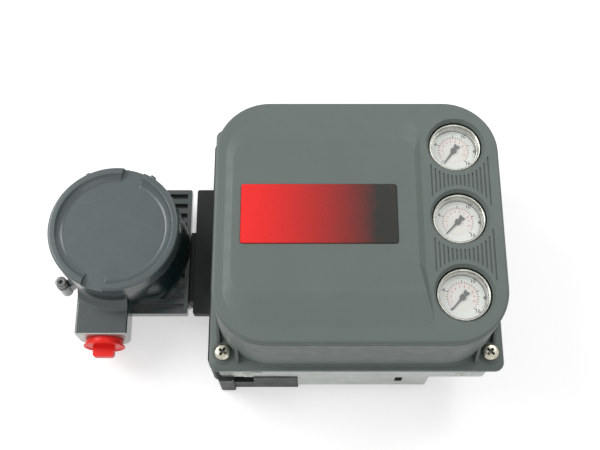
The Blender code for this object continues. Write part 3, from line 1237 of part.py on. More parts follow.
def make_terminals(plastic, brass):
    """The terminal board, its stepped strip and the clamp screws of the field wires."""
    floor = BOX_BACK + BOX_FLOOR + GAP
    face = floor + TERMINAL_BOARD_THICKNESS
    side = TERMINAL_BOARD_LENGTH / 2
    half = TERMINAL_BOARD_WIDTH / 2
    inner = half - GAP
    strip = TERMINAL_PITCH * TERMINAL_COUNT / 2
    top = floor + TERMINAL_STRIP_HEIGHT
    board = solid(soft_block((TERMINAL_X - side, TERMINAL_X + side), (TERMINAL_Y - half, TERMINAL_Y + half),
                             (floor, face), TERMINAL_BOARD_CORNER), "terminal_board", plastic)
    join(board, block((TERMINAL_X - strip, TERMINAL_X + strip), (TERMINAL_Y - inner, TERMINAL_Y + inner),
                      (floor + TERMINAL_BOARD_THICKNESS / 2, top)))
    first = TERMINAL_X - TERMINAL_PITCH * (TERMINAL_COUNT - 1) / 2
    points = [(first + index * TERMINAL_PITCH, TERMINAL_Y) for index in range(TERMINAL_COUNT)]
    for x, y in points:
        cut(board, rod((x, y, top), (0, 0, -1), -OVER, TERMINAL_SCREW_LENGTH + GAP,
                       TERMINAL_SCREW_RADIUS + SCREW_CLEARANCE, TINY))
    for x, y in terminal_board_screws():
        cut(board, rod((x, y, floor), (0, 0, 1), -OVER, TERMINAL_BOARD_THICKNESS + OVER,
                       BOARD_SCREW_RADIUS + SCREW_CLEARANCE, TINY))
    dress(board, plastic, smooth=False)
    for index, (x, y) in enumerate(points):
        pan_screw(f"terminal_screw_{index + 1}", (x, y, top + GAP), (0, 0, 1), brass,
                  TERMINAL_SCREW_RADIUS, TERMINAL_SCREW_HEAD_RADIUS, TERMINAL_HEAD_HEIGHT,
                  TERMINAL_SCREW_LENGTH, TINY)
    for index, (x, y) in enumerate(terminal_board_screws()):
        pan_screw(f"terminal_board_screw_{index + 1}", (x, y, face + GAP), (0, 0, 1), brass,
                  BOARD_SCREW_RADIUS, BOARD_SCREW_HEAD_RADIUS, TERMINAL_HEAD_HEIGHT,
                  BOARD_SCREW_LENGTH, TINY)
    return board


def gauge_case_profile():
    """Half the section of a gauge: stem, back, case, bezel and the bore behind the lens."""
    back = GAUGE_FRONT - GAUGE_CASE_HEIGHT
    bezel = GAUGE_FRONT - GAUGE_BEZEL_HEIGHT
    step = lens_seat()
    lip = GAUGE_BORE_RADIUS + GAUGE_LIP
    stem_end = MODULE_TOP - gauge_seat() + GAP
    collar = MODULE_TOP + GAUGE_STEM_RISE
    nut = GAUGE_STEM_RADIUS * 1.5
    return [(0, stem_end), (GAUGE_STEM_RADIUS, stem_end), (GAUGE_STEM_RADIUS, collar),
            (nut, collar), (nut, back),
            (GAUGE_CASE_RADIUS, back), (GAUGE_CASE_RADIUS, bezel), (GAUGE_RADIUS, bezel),
            (GAUGE_RADIUS, GAUGE_FRONT - GAUGE_EDGE),
            (GAUGE_RADIUS - GAUGE_EDGE, GAUGE_FRONT), (lip, GAUGE_FRONT), (lip, step),
            (GAUGE_BORE_RADIUS, step), (GAUGE_BORE_RADIUS, DIAL_SEAT), (0, DIAL_SEAT)]


def lens_seat():
    """The height of the step in the bezel that the lens sits on."""
    return GAUGE_FRONT - GAUGE_LENS_INSET - LENS_THICKNESS - 2 * GAP


def pointer_shape():
    """The pointer's outline along +X: a tapered hand and a flared tail behind the hub."""
    hand = POINTER_HALF_WIDTH
    tip = POINTER_TIP
    tail = POINTER_TAIL_WIDTH
    return [(POINTER_LENGTH, -tip), (POINTER_LENGTH, tip), (0, hand), (-POINTER_TAIL * 0.45, hand),
            (-POINTER_TAIL, tail), (-POINTER_TAIL * 0.80, 0), (-POINTER_TAIL, -tail),
            (-POINTER_TAIL * 0.45, -hand), (0, -hand)]


def make_pointer(name, y, material):
    """A gauge pointer at its zero stop, on a pin through the dial."""
    bottom = DIAL_SEAT + 2 * GAP + DIAL_THICKNESS
    origin = (GAUGE_X, y, bottom)
    pointer = solid(prism(pointer_shape(), bottom, bottom + POINTER_THICKNESS), name, material)
    turn = Matrix.Rotation(POINTER_ZERO, 4, 'Z')
    pointer.data.transform(Matrix.Translation((GAUGE_X, y, 0)) @ turn)
    foot = bottom + POINTER_PIN_STEP
    top = bottom + POINTER_HUB_TOP
    hub = [(0, DIAL_SEAT + GAP), (POINTER_PIN_RADIUS, DIAL_SEAT + GAP), (POINTER_PIN_RADIUS, foot),
           (POINTER_HUB_RADIUS, foot), (POINTER_HUB_RADIUS, bottom + POINTER_HUB_HEIGHT),
           (POINTER_HUB_RADIUS * 0.6, top), (0, top)]
    join(pointer, turned(hub, TINY, (GAUGE_X, y, 0)))
    pointer.data.transform(Matrix.Translation(-Vector(origin)))
    pointer.location = origin
    dress(pointer, material, smooth=False)
    return pointer


def make_gauges(steel, white, black, glass):
    """The three gauges, each a case, a dial, a pointer and a lens."""
    for row, y in zip(("top", "middle", "bottom"), GAUGE_ROWS):
        seat = (GAUGE_X, y, 0)
        solid(turned(gauge_case_profile(), ROUND, seat), f"gauge_case_{row}", steel, seat, smooth=True)
        bottom = DIAL_SEAT + GAP
        hole = POINTER_PIN_RADIUS + GAP
        rim = GAUGE_BORE_RADIUS - GAP
        dial = [(hole, bottom), (rim, bottom), (rim, bottom + DIAL_THICKNESS), (hole, bottom + DIAL_THICKNESS)]
        solid(turned(dial, ROUND, seat), f"gauge_dial_{row}", white, seat, smooth=True)
        make_pointer(f"gauge_pointer_{row}", y, black)
        low = lens_seat() + GAP
        radius = GAUGE_BORE_RADIUS + GAUGE_LIP - GAP
        lens = [(0, low), (radius, low), (radius, low + LENS_THICKNESS), (0, low + LENS_THICKNESS)]
        solid(turned(lens, ROUND, seat), f"gauge_lens_{row}", glass, seat, smooth=True)


def small_screw(name, x, y, seat, grip, material):
    """One of the small pan-head screws of the modules, through a thickness and into its seat."""
    pan_screw(name, (x, y, seat + GAP), (0, 0, 1), material, SMALL_SCREW_RADIUS,
              SMALL_SCREW_HEAD_RADIUS, SMALL_SCREW_HEAD_HEIGHT, grip + SMALL_SCREW_GRIP, TINY)


def converter_screw_points():
    """Where the four screws of the current-to-pressure converter stand."""
    reach = CONVERTER_SIZE / 2 - SMALL_SCREW_INSET
    return [(CONVERTER_X + x, CONVERTER_Y + y) for x, y in corner_points(reach, reach)]


def make_converter(cast, plastic, steel):
    """The current-to-pressure converter: base, coil housing, shroud and four screws."""
    half = CONVERTER_SIZE / 2
    bottom = MODULE_SEAT + GAP
    top = bottom + CONVERTER_BASE
    crown = top + CONVERTER_HEIGHT
    nose = crown + CONVERTER_NOSE_HEIGHT
    body = solid(soft_block((CONVERTER_X - half, CONVERTER_X + half),
                            (CONVERTER_Y - half, CONVERTER_Y + half),
                            (bottom, top), 0.0030), "pressure_converter", cast)
    coil = [(0, top - OVER), (CONVERTER_RADIUS, top - OVER), (CONVERTER_RADIUS, crown),
            (CONVERTER_NOSE_RADIUS, crown), (CONVERTER_NOSE_RADIUS, nose), (0, nose)]
    join(body, turned(coil, ROUND, (CONVERTER_X, CONVERTER_Y, 0)))
    for x, y in converter_screw_points():
        cut(body, rod((x, y, bottom), (0, 0, 1), -OVER, CONVERTER_BASE + OVER,
                      SMALL_SCREW_RADIUS + SCREW_CLEARANCE, TINY))
    dress(body, cast, smooth=True)
    inner = CONVERTER_RADIUS + GAP
    outer = inner + SHROUD_WALL
    roof = nose + GAP
    low = crown - SHROUD_SKIRT
    shroud = [(0, roof), (inner, roof), (inner, low), (outer, low), (outer, roof + SHROUD_ROOF / 2),
              (outer - SHROUD_ROOF / 2, roof + SHROUD_ROOF), (0, roof + SHROUD_ROOF)]
    solid(turned(shroud, ROUND, (CONVERTER_X, CONVERTER_Y, 0)), "converter_shroud", plastic,
          (CONVERTER_X, CONVERTER_Y, low), smooth=True)
    for index, (x, y) in enumerate(converter_screw_points()):
        small_screw(f"converter_screw_{index + 1}", x, y, top, CONVERTER_BASE, steel)


def relay_screw_points():
    """Where the three screws of the relay stand."""
    x = RELAY_WIDTH / 2 - SMALL_SCREW_INSET
    y = RELAY_LENGTH / 2 - SMALL_SCREW_INSET
    return [(RELAY_X - x, RELAY_Y + y), (RELAY_X + x, RELAY_Y + y), (RELAY_X + x, RELAY_Y - y)]


def disc_point():
    """Where the relay's adjustment disc turns."""
    inset = DISC_RADIUS + DISC_INSET
    return RELAY_X - RELAY_WIDTH / 2 + inset, RELAY_Y - RELAY_LENGTH / 2 + inset


def make_relay(cast, plastic, steel):
    """The pneumatic relay: valve block, diaphragm bonnet, adjustment disc and three screws."""
    bottom = MODULE_SEAT + GAP
    top = bottom + RELAY_HEIGHT
    ledge = bottom + RELAY_LEDGE
    half_width = RELAY_WIDTH / 2
    half_length = RELAY_LENGTH / 2
    body = solid(soft_block((RELAY_X - half_width, RELAY_X + half_width),
                            (RELAY_Y - half_length, RELAY_Y + half_length), (bottom, ledge), 0.0030),
                 "relay", cast)
    waist = BONNET_RADIUS - BONNET_STEP
    bonnet = [(0, ledge - OVER), (BONNET_RADIUS, ledge - OVER), (BONNET_RADIUS, ledge + BONNET_FLANGE),
              (waist, ledge + BONNET_FLANGE + BONNET_STEP), (waist, top - BONNET_STEP),
              (waist - BONNET_STEP, top), (0, top)]
    join(body, turned(bonnet, ROUND, (RELAY_X + BONNET_SHIFT, RELAY_Y, 0)))
    disc_x, disc_y = disc_point()
    cut(body, rod((disc_x, disc_y, ledge), (0, 0, 1), 0, RELAY_HEIGHT, DISC_RADIUS + 2 * GAP, ROUND),
        rod((disc_x, disc_y, ledge), (0, 0, -1), -OVER, DISC_PIN_LENGTH + GAP,
            DISC_PIN_RADIUS + GAP, TINY))
    for x, y in relay_screw_points():
        cut(body, rod((x, y, bottom), (0, 0, 1), -OVER, RELAY_HEIGHT, SMALL_SCREW_RADIUS + SCREW_CLEARANCE,
                      TINY))
    dress(body, cast, smooth=True)
    make_disc(disc_x, disc_y, ledge, plastic)
    for index, (x, y) in enumerate(relay_screw_points()):
        small_screw(f"relay_screw_{index + 1}", x, y, ledge, RELAY_LEDGE, steel)


def make_disc(x, y, ledge, plastic):
    """The relay's slotted adjustment disc, on its pin."""
    crown = DISC_THICKNESS + DISC_BEVEL
    profile = [(0, -DISC_PIN_LENGTH), (DISC_PIN_RADIUS, -DISC_PIN_LENGTH), (DISC_PIN_RADIUS, GAP),
               (DISC_RADIUS, GAP), (DISC_RADIUS, DISC_THICKNESS),
               (DISC_RADIUS - DISC_BEVEL, crown), (0, crown)]
    origin = (x, y, ledge)
    disc = solid(turned(profile, ROUND, origin), "relay_adjustment_disc", plastic, origin)
    cut(disc, block((x - DISC_SLOT_LENGTH / 2, x + DISC_SLOT_LENGTH / 2),
                    (y - DISC_SLOT_WIDTH / 2, y + DISC_SLOT_WIDTH / 2),
                    (ledge + crown - DISC_SLOT_DEPTH, ledge + crown + DISC_SLOT_DEPTH)))
    dress(disc, plastic, smooth=True)


def tray_screw_points():
    """Where the three screws of the electronics module stand."""
    left = TRAY_LEFT + TRAY_SCREW_INSET
    right = TRAY_RIGHT - TRAY_SCREW_INSET
    side = TRAY_SIDE - TRAY_SCREW_INSET
    return [(right, side), (right, -side), (left, side)]


def make_electronics(plastic, green, steel):
    """The electronics module: a potted tray, the circuit board on it and three screws."""
    bottom = MODULE_SEAT + GAP
    top = bottom + TRAY_HEIGHT
    tray = solid(soft_block((TRAY_LEFT, TRAY_RIGHT), (-TRAY_SIDE, TRAY_SIDE), (bottom, top), TRAY_CORNER),
                 "electronics_tray", plastic)
    for x, y in tray_screw_points():
        cut(tray, rod((x, y, bottom), (0, 0, 1), TRAY_SCREW_FLOOR, TRAY_HEIGHT + OVER,
                      TRAY_SCREW_WELL, SMALL),
            rod((x, y, bottom), (0, 0, 1), -OVER, TRAY_SCREW_FLOOR + 0.002,
                SMALL_SCREW_RADIUS + SCREW_CLEARANCE, TINY))
    left = TRAY_LEFT + TRAY_RIM_SIDES
    right = TRAY_RIGHT - TRAY_RIM_SIDES
    side = TRAY_SIDE - TRAY_RIM_ENDS
    cut(tray, soft_block((left, right), (-side, side), (top - TRAY_RECESS, top + OVER), 0.0020))
    dress(tray, plastic, smooth=True)
    floor = top - TRAY_RECESS + GAP
    board = solid(soft_block((left + GAP, right - GAP), (GAP - side, side - GAP),
                             (floor, floor + CIRCUIT_THICKNESS), 0.0020), "circuit_board", green)
    inside = floor + CIRCUIT_THICKNESS / 2
    connector_y = side - CONNECTOR_INSET
    join(board, block((left + CONNECTOR_INSET_SIDES, right - CONNECTOR_INSET_SIDES),
                      (connector_y - CONNECTOR_LENGTH, connector_y), (inside, floor + CONNECTOR_HEIGHT)),
         block((TRAY_X - CHIP_SIZE / 2, TRAY_X + CHIP_SIZE / 2), (-CHIP_SIZE / 2, CHIP_SIZE / 2),
               (inside, floor + CHIP_HEIGHT)),
         rod((TRAY_X, COIL_INSET - side, 0), (0, 0, 1), inside, floor + COIL_HEIGHT, COIL_RADIUS, SMALL))
    dress(board, green, smooth=True)
    for index, (x, y) in enumerate(tray_screw_points()):
        small_screw(f"electronics_screw_{index + 1}", x, y, bottom + TRAY_SCREW_FLOOR,
                    TRAY_SCREW_FLOOR, steel)


def main():
    """Build every piece of the positioner."""
    clear_scene()
    cover_grey = finish("cover_grey", (0.150, 0.172, 0.168), 0.50)
    paint_grey = finish("paint_grey", (0.095, 0.112, 0.116), 0.40)
    paint_dark = finish("paint_dark", (0.032, 0.036, 0.034), 0.45)
    cast = finish("bare_casting", (0.420, 0.440, 0.430), 0.45, 0.6)
    label = finish("label_red", (0.640, 0.020, 0.025), 0.30)
    nickel = finish("nickel", (0.720, 0.700, 0.660), 0.22, 1.0)
    brass = finish("brass", (0.700, 0.530, 0.250), 0.30, 1.0)
    rubber = finish("rubber_black", (0.020, 0.020, 0.020), 0.70)
    plug_red = finish("plug_red", (0.800, 0.035, 0.025), 0.40)
    black = finish("plastic_black", (0.025, 0.025, 0.027), 0.45)
    white = finish("dial_white", (0.860, 0.870, 0.840), 0.45)
    glass = finish("lens_clear", (0.900, 0.930, 0.930), 0.05)
    green = finish("board_green", (0.020, 0.160, 0.070), 0.50)

    make_housing(paint_dark)
    make_vent_screen(black)
    make_module_base(cast)
    make_module_screws(nickel)
    make_cover_seal(rubber)
    make_cover(cover_grey)
    make_label(label)
    make_cover_screws(nickel)
    make_gauges(nickel, white, black, glass)
    make_converter(cast, black, nickel)
    make_relay(cast, black, nickel)
    make_electronics(black, green, nickel)
    make_terminal_box(paint_grey)
    make_box_screws(nickel)
    make_cap(paint_grey)
    make_cap_seal(rubber)
    make_cap_lock(nickel)
    make_conduit_plug(plug_red)
    make_ground_screws(nickel, brass)
    make_terminals(black, brass)


main()
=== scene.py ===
"""Looks of a valve positioner that lies on its back with its domed cover up.

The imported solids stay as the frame. The cover, the screw cap, the terminal box, the
gauges, the conduit plug and the screws are modelled again in detail here, and every
solid that stays in view gets a finish of its own.
"""

import logging
import math
from dataclasses import dataclass, field
from enum import Enum
from typing import Callable, Optional, Sequence

import bmesh
import bpy
from mathutils import Matrix, Vector
from mathutils.kdtree import KDTree

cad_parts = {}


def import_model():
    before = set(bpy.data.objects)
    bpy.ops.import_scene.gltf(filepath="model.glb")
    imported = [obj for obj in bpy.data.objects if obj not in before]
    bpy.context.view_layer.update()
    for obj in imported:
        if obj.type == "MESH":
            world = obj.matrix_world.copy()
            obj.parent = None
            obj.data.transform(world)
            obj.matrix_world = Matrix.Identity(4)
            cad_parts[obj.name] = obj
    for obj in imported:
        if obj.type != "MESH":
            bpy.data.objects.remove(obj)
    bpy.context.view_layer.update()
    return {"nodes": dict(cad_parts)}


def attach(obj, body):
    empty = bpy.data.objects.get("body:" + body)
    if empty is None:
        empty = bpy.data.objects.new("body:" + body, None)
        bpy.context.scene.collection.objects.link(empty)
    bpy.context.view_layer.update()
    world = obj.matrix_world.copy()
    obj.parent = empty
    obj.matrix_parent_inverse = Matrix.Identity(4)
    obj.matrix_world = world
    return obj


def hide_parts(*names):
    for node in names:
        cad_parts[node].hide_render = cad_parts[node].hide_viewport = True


LOG = logging.getLogger("positioner")

Point = tuple[float, float, float]
Outline = list[tuple[float, float]]
Colour = tuple[float, float, float]

UP: Point = (0.0, 0.0, 1.0)
ORIGIN: Point = (0.0, 0.0, 0.0)

# Places and sizes that several pieces share, in metres, and the pointers' turns in degrees

GAUGE_X = 0.05485
GAUGE_ROWS = {"top": 0.04165, "middle": -0.0013, "bottom": -0.04425}
REST_TURNS = {"top": 9.0, "middle": 1.0, "bottom": 4.0}
BEZEL_RADIUS = 0.0146
SCREW_X = 0.0750
SCREW_Y = 0.0650
CORNERS = ((-1, -1), (-1, 1), (1, -1), (1, 1))
SEAT_GAP = 0.0003
CUT_OVER = 0.001


# Modelling steps


def deselect() -> None:
    """Leave edit mode and select nothing."""
    if bpy.context.mode != "OBJECT":
        bpy.ops.object.mode_set(mode="OBJECT")
    bpy.ops.object.select_all(action="DESELECT")


def take(obj: bpy.types.Object) -> None:
    """Select one object alone and make it active.

    Args:
        obj: The object to work on.
    """
    deselect()
    obj.select_set(True)
    bpy.context.view_layer.objects.active = obj


def enter(obj: bpy.types.Object) -> None:
    """Open an object in edit mode with nothing selected.

    Args:
        obj: The object to edit.
    """
    take(obj)
    bpy.ops.object.mode_set(mode="EDIT")
    bpy.ops.mesh.select_all(action="DESELECT")


def leave() -> None:
    """Go back to object mode."""
    bpy.ops.object.mode_set(mode="OBJECT")


def bake_place(obj: bpy.types.Object) -> bpy.types.Object:
    """Put an object's place, turn and size into its mesh.

    Args:
        obj: The object whose transform is applied.

    Returns:
        The same object, at the origin.
    """
    take(obj)
    bpy.ops.object.transform_apply(location=True, rotation=True, scale=True)
    return obj


def add_block(low: Point, high: Point) -> bpy.types.Object:
    """A box between two corners.

    Args:
        low: Lowest corner in metres.
        high: Highest corner in metres.

    Returns:
        The new box, at the origin.
    """
    deselect()
    centre = [(a + b) / 2 for a, b in zip(low, high)]
    size = [b - a for a, b in zip(low, high)]
    bpy.ops.mesh.primitive_cube_add(size=1.0, location=centre)
    block = bpy.context.object
    block.scale = size
    return bake_place(block)


def add_rod(origin: Point, axis: Point, start: float, end: float, radius: float,
            segments: int = 48, tip: Optional[float] = None) -> bpy.types.Object:
    """A cylinder or, with a tip radius, a cone along an axis.

    Args:
        origin: Point that the distances are measured from.
        axis: Direction of the rod.
        start: Distance of its first end from the origin.
        end: Distance of its second end from the origin.
        radius: Radius at the first end.
        segments: Number of sides.
        tip: Radius at the second end.

    Returns:
        The new rod, at the origin.
    """
    deselect()
    direction = Vector(axis).normalized()
    centre = Vector(origin) + direction * (start + end) / 2
    turn = direction.to_track_quat("Z", "Y").to_euler()
    last = radius if tip is None else tip
    bpy.ops.mesh.primitive_cone_add(vertices=segments, radius1=radius, radius2=last,
                                    depth=end - start, location=centre, rotation=turn)
    return bake_place(bpy.context.object)


def select_edges(obj: bpy.types.Object, test: Callable[[bmesh.types.BMEdge], bool]) -> None:
    """Select the edges that pass a test, in edit mode.

    Args:
        obj: Object that is open in edit mode.
        test: Says whether an edge is wanted.
    """
    bpy.ops.mesh.select_mode(type="EDGE")
    mesh = bmesh.from_edit_mesh(obj.data)
    for edge in mesh.edges:
        edge.select_set(bool(test(edge)))
    bmesh.update_edit_mesh(obj.data)


def select_faces(obj: bpy.types.Object, test: Callable[[bmesh.types.BMFace], bool]) -> None:
    """Select the faces that pass a test, in edit mode.

    Args:
        obj: Object that is open in edit mode.
        test: Says whether a face is wanted.
    """
    bpy.ops.mesh.select_mode(type="FACE")
    mesh = bmesh.from_edit_mesh(obj.data)
    mesh.normal_update()
    for face in mesh.faces:
        face.select_set(bool(test(face)))
    bmesh.update_edit_mesh(obj.data)


def round_edges(obj: bpy.types.Object, test: Callable[[bmesh.types.BMEdge], bool], width: float,
                segments: int) -> bpy.types.Object:
    """Bevel the edges that pass a test.

    Args:
        obj: Object to shape.
        test: Says whether an edge is wanted.
        width: Width of the bevel in metres.
        segments: Number of steps across it.

    Returns:
        The same object.
    """
    enter(obj)
    select_edges(obj, test)
    bpy.ops.mesh.bevel(offset=width, offset_type="OFFSET", segments=segments, profile=0.5,
                       affect="EDGES", clamp_overlap=True)
    leave()
    return obj


def is_upright(edge: bmesh.types.BMEdge) -> bool:
    """Whether an edge runs along Z."""
    way = edge.verts[1].co - edge.verts[0].co
    return abs(way.z) > 0.99 * way.length


def at_height(height: float, slack: float = 0.00002) -> Callable[[bmesh.types.BMEdge], bool]:
    """A test for the edges that lie at one height.

    Args:
        height: Height in metres.
        slack: How far off an end may be.

    Returns:
        The test.
    """
    def test(edge: bmesh.types.BMEdge) -> bool:
        """Whether both ends are at the height."""
        return all(abs(vert.co.z - height) < slack for vert in edge.verts)
    return test


def combine(target: bpy.types.Object, tool: bpy.types.Object, operation: str) -> bpy.types.Object:
    """Shape a target with a tool by a boolean modifier, and apply it.

    Args:
        target: Object that is kept.
        tool: Object that is used up.
        operation: UNION, DIFFERENCE or INTERSECT.

    Returns:
        The target.
    """
    take(target)
    step = target.modifiers.new("shape", "BOOLEAN")
    step.operation = operation
    step.solver = "EXACT"
    step.object = tool
    bpy.ops.object.modifier_apply(modifier=step.name)
    bpy.data.objects.remove(tool)
    return target


def join(target: bpy.types.Object, *tools: bpy.types.Object) -> bpy.types.Object:
    """Join each tool to the target.

    Args:
        target: Object that is kept.
        tools: Objects that are used up.

    Returns:
        The target.
    """
    for tool in tools:
        combine(target, tool, "UNION")
    return target


def cut(target: bpy.types.Object, *tools: bpy.types.Object) -> bpy.types.Object:
    """Cut each tool away from the target.

    Args:
        target: Object that is kept.
        tools: Objects that are used up.

    Returns:
        The target.
    """
    for tool in tools:
        combine(target, tool, "DIFFERENCE")
    return target


def rounded(corners: Sequence[tuple[float, float, float]], steps: int = 10) -> Outline:
    """An outline with an arc at each corner.

    Args:
        corners: Corner places with their radii, anticlockwise.
        steps: Steps of each arc.

    Returns:
        The outline's points.
    """
    outline = []
    for index, (x, y, radius) in enumerate(corners):
        here = Vector((x, y))
        back = (Vector(corners[index - 1][:2]) - here).normalized()
        ahead = (Vector(corners[(index + 1) % len(corners)][:2]) - here).normalized()
        half = back.angle(ahead) / 2
        centre = here + (back + ahead).normalized() * radius / math.sin(half)
        start = here + back * radius / math.tan(half) - centre
        sweep = math.pi - 2 * half
        for step in range(steps + 1):
            turn = Matrix.Rotation(sweep * step / steps, 2)
            outline.append(tuple(centre + turn @ start))
    return outline


def rounded_box(width: float, length: float, radius: float, centre: tuple[float, float] = (0, 0),
                steps: int = 10) -> Outline:
    """The outline of a rectangle with rounded corners.

    Args:
        width: Size along X.
        length: Size along Y.
        radius: Corner radius.
        centre: Middle of the rectangle.
        steps: Steps of each corner.

    Returns:
        The outline's points.
    """
    x, y = centre
    corners = [(x + sx * width / 2, y + sy * length / 2, radius)
               for sx, sy in ((-1, -1), (1, -1), (1, 1), (-1, 1))]
    return rounded(corners, steps)


def set_ring(obj: bpy.types.Object, old: Sequence[Point], new: Sequence[Point]) -> None:
    """Move the selected corners from one ring of points to another, in edit mode.

    Args:
        obj: Object that is open in edit mode.
        old: Where the selected corners are.
        new: Where each of them goes.
    """
    nearby = KDTree(len(old))
    for index, place in enumerate(old):
        nearby.insert(place, index)
    nearby.balance()
    shape = bmesh.from_edit_mesh(obj.data)
    for vert in shape.verts:
        if vert.select:
            vert.co = new[nearby.find(vert.co)[1]]
    bmesh.update_edit_mesh(obj.data)


def loft(rings: Sequence[tuple[Outline, float]]) -> bpy.types.Object:
    """A closed body that is extruded from outline to outline of as many points each.

    Args:
        rings: Outlines with their heights, from the lowest to the highest.

    Returns:
        The new body.
    """
    deselect()
    levels = [[(x, y, height) for x, y in outline] for outline, height in rings]
    count = len(levels[0])
    bpy.ops.mesh.primitive_circle_add(vertices=count, radius=1.0, fill_type="NGON")
    body = bpy.context.object
    enter(body)
    bpy.ops.mesh.select_all(action="SELECT")
    shape = bmesh.from_edit_mesh(body.data)
    for vert, place in zip(shape.verts, levels[0]):
        vert.co = place
    bmesh.update_edit_mesh(body.data)
    for below, above in zip(levels, levels[1:]):
        bpy.ops.mesh.extrude_region()
        set_ring(body, below, above)
    leave()
    return face_out(body)


def face_out(obj: bpy.types.Object) -> bpy.types.Object:
    """Merge doubled corners and turn all faces outwards.

    Args:
        obj: A closed body.

    Returns:
        The same object.
    """
    enter(obj)
    bpy.ops.mesh.select_all(action="SELECT")
    bpy.ops.mesh.remove_doubles(threshold=0.000001)
    bpy.ops.mesh.normals_make_consistent(inside=False)
    leave()
    return obj


def lathe(profile: Sequence[tuple[float, float]], origin: Point = (0, 0, 0), axis: Point = UP,
          steps: int = 96) -> bpy.types.Object:
    """Spin a profile of radius and height pairs round an axis.

    Args:
        profile: Points from one pole to the other, or round a ring.
        origin: Where height 0 of the profile is.
        axis: Direction of the axis.
        steps: Number of steps round it.

    Returns:
        The new closed body, at the origin.
    """
    deselect()
    edges = [(index, index + 1) for index in range(len(profile) - 1)]
    if profile[0][0] > 0:
        edges.append((len(profile) - 1, 0))
    mesh = bpy.data.meshes.new("lathe")
    mesh.from_pydata([(radius, 0, height) for radius, height in profile], edges, [])
    body = bpy.data.objects.new("lathe", mesh)
    bpy.context.scene.collection.objects.link(body)
    enter(body)
    bpy.ops.mesh.select_all(action="SELECT")
    bpy.ops.mesh.spin(steps=steps, angle=math.tau, center=(0, 0, 0), axis=(0, 0, 1))
    leave()
    face_out(body)
    body.rotation_euler = Vector(axis).to_track_quat("Z", "Y").to_euler()
    body.location = origin
    return bake_place(body)


def fillet(centre: tuple[float, float], radius: float, start: float, end: float,
           steps: int = 5) -> list[tuple[float, float]]:
    """Points along an arc of a profile.

    Args:
        centre: Middle of the arc.
        radius: Radius of the arc.
        start: First angle in degrees.
        end: Last angle in degrees.
        steps: Number of steps.

    Returns:
        The arc's points.
    """
    points = []
    for step in range(steps + 1):
        angle = math.radians(start + (end - start) * step / steps)
        points.append((centre[0] + radius * math.cos(angle), centre[1] + radius * math.sin(angle)))
    return points


def ease(share: float) -> float:
    """A share from 0 to 1 that starts and ends gently."""
    return share * share * (3 - 2 * share)


def copy_of(obj: bpy.types.Object) -> bpy.types.Object:
    """A copy with its own mesh.

    Args:
        obj: Object to copy.

    Returns:
        The copy, at the origin.
    """
    twin = obj.copy()
    twin.data = obj.data.copy()
    bpy.context.scene.collection.objects.link(twin)
    twin.location = ORIGIN
    return bake_place(twin)


def turn_about(obj: bpy.types.Object, origin: Point, angle: float) -> bpy.types.Object:
    """Turn an object's mesh about an upright axis.

    Args:
        obj: Object to turn.
        origin: A point on the axis.
        angle: Angle in radians.

    Returns:
        The same object.
    """
    middle = Matrix.Translation(origin)
    obj.data.transform(middle @ Matrix.Rotation(angle, 4, "Z") @ middle.inverted())
    return obj


def merge(objects: Sequence[bpy.types.Object]) -> bpy.types.Object:
    """Make one object of several that touch or lie apart.

    Args:
        objects: Objects to gather.

    Returns:
        The gathered object.
    """
    deselect()
    for obj in objects:
        obj.select_set(True)
    bpy.context.view_layer.objects.active = objects[0]
    bpy.ops.object.join()
    return bpy.context.object


def smooth(obj: bpy.types.Object, angle: float = 32.0) -> bpy.types.Object:
    """Shade the curved faces smooth and leave the flat ones flat.

    Args:
        obj: Object to shade.
        angle: Edges sharper than this many degrees stay sharp.

    Returns:
        The same object.
    """
    take(obj)
    bpy.ops.object.shade_smooth_by_angle(angle=math.radians(angle))
    even = obj.modifiers.new("even", "WEIGHTED_NORMAL")
    even.keep_sharp = True
    bpy.ops.object.modifier_apply(modifier=even.name)
    return obj


def words(text: str, size: float, centre: Point, thickness: float = 0.00002) -> bpy.types.Object:
    """Flat figures, centred on a point.

    Args:
        text: The figures.
        size: Height of the type.
        centre: Middle of the words.
        thickness: How thick the print is.

    Returns:
        The words as a mesh, at the origin.
    """
    deselect()
    bpy.ops.object.text_add(location=centre)
    lettering = bpy.context.object
    lettering.data.body = text
    lettering.data.size = size
    lettering.data.align_x = "CENTER"
    lettering.data.align_y = "CENTER"
    lettering.data.extrude = thickness / 2
    lettering.data.resolution_u = 3
    lettering.data.offset = size * 0.03
    bpy.ops.object.convert(target="MESH")
    return bake_place(bpy.context.object)


# Finishes


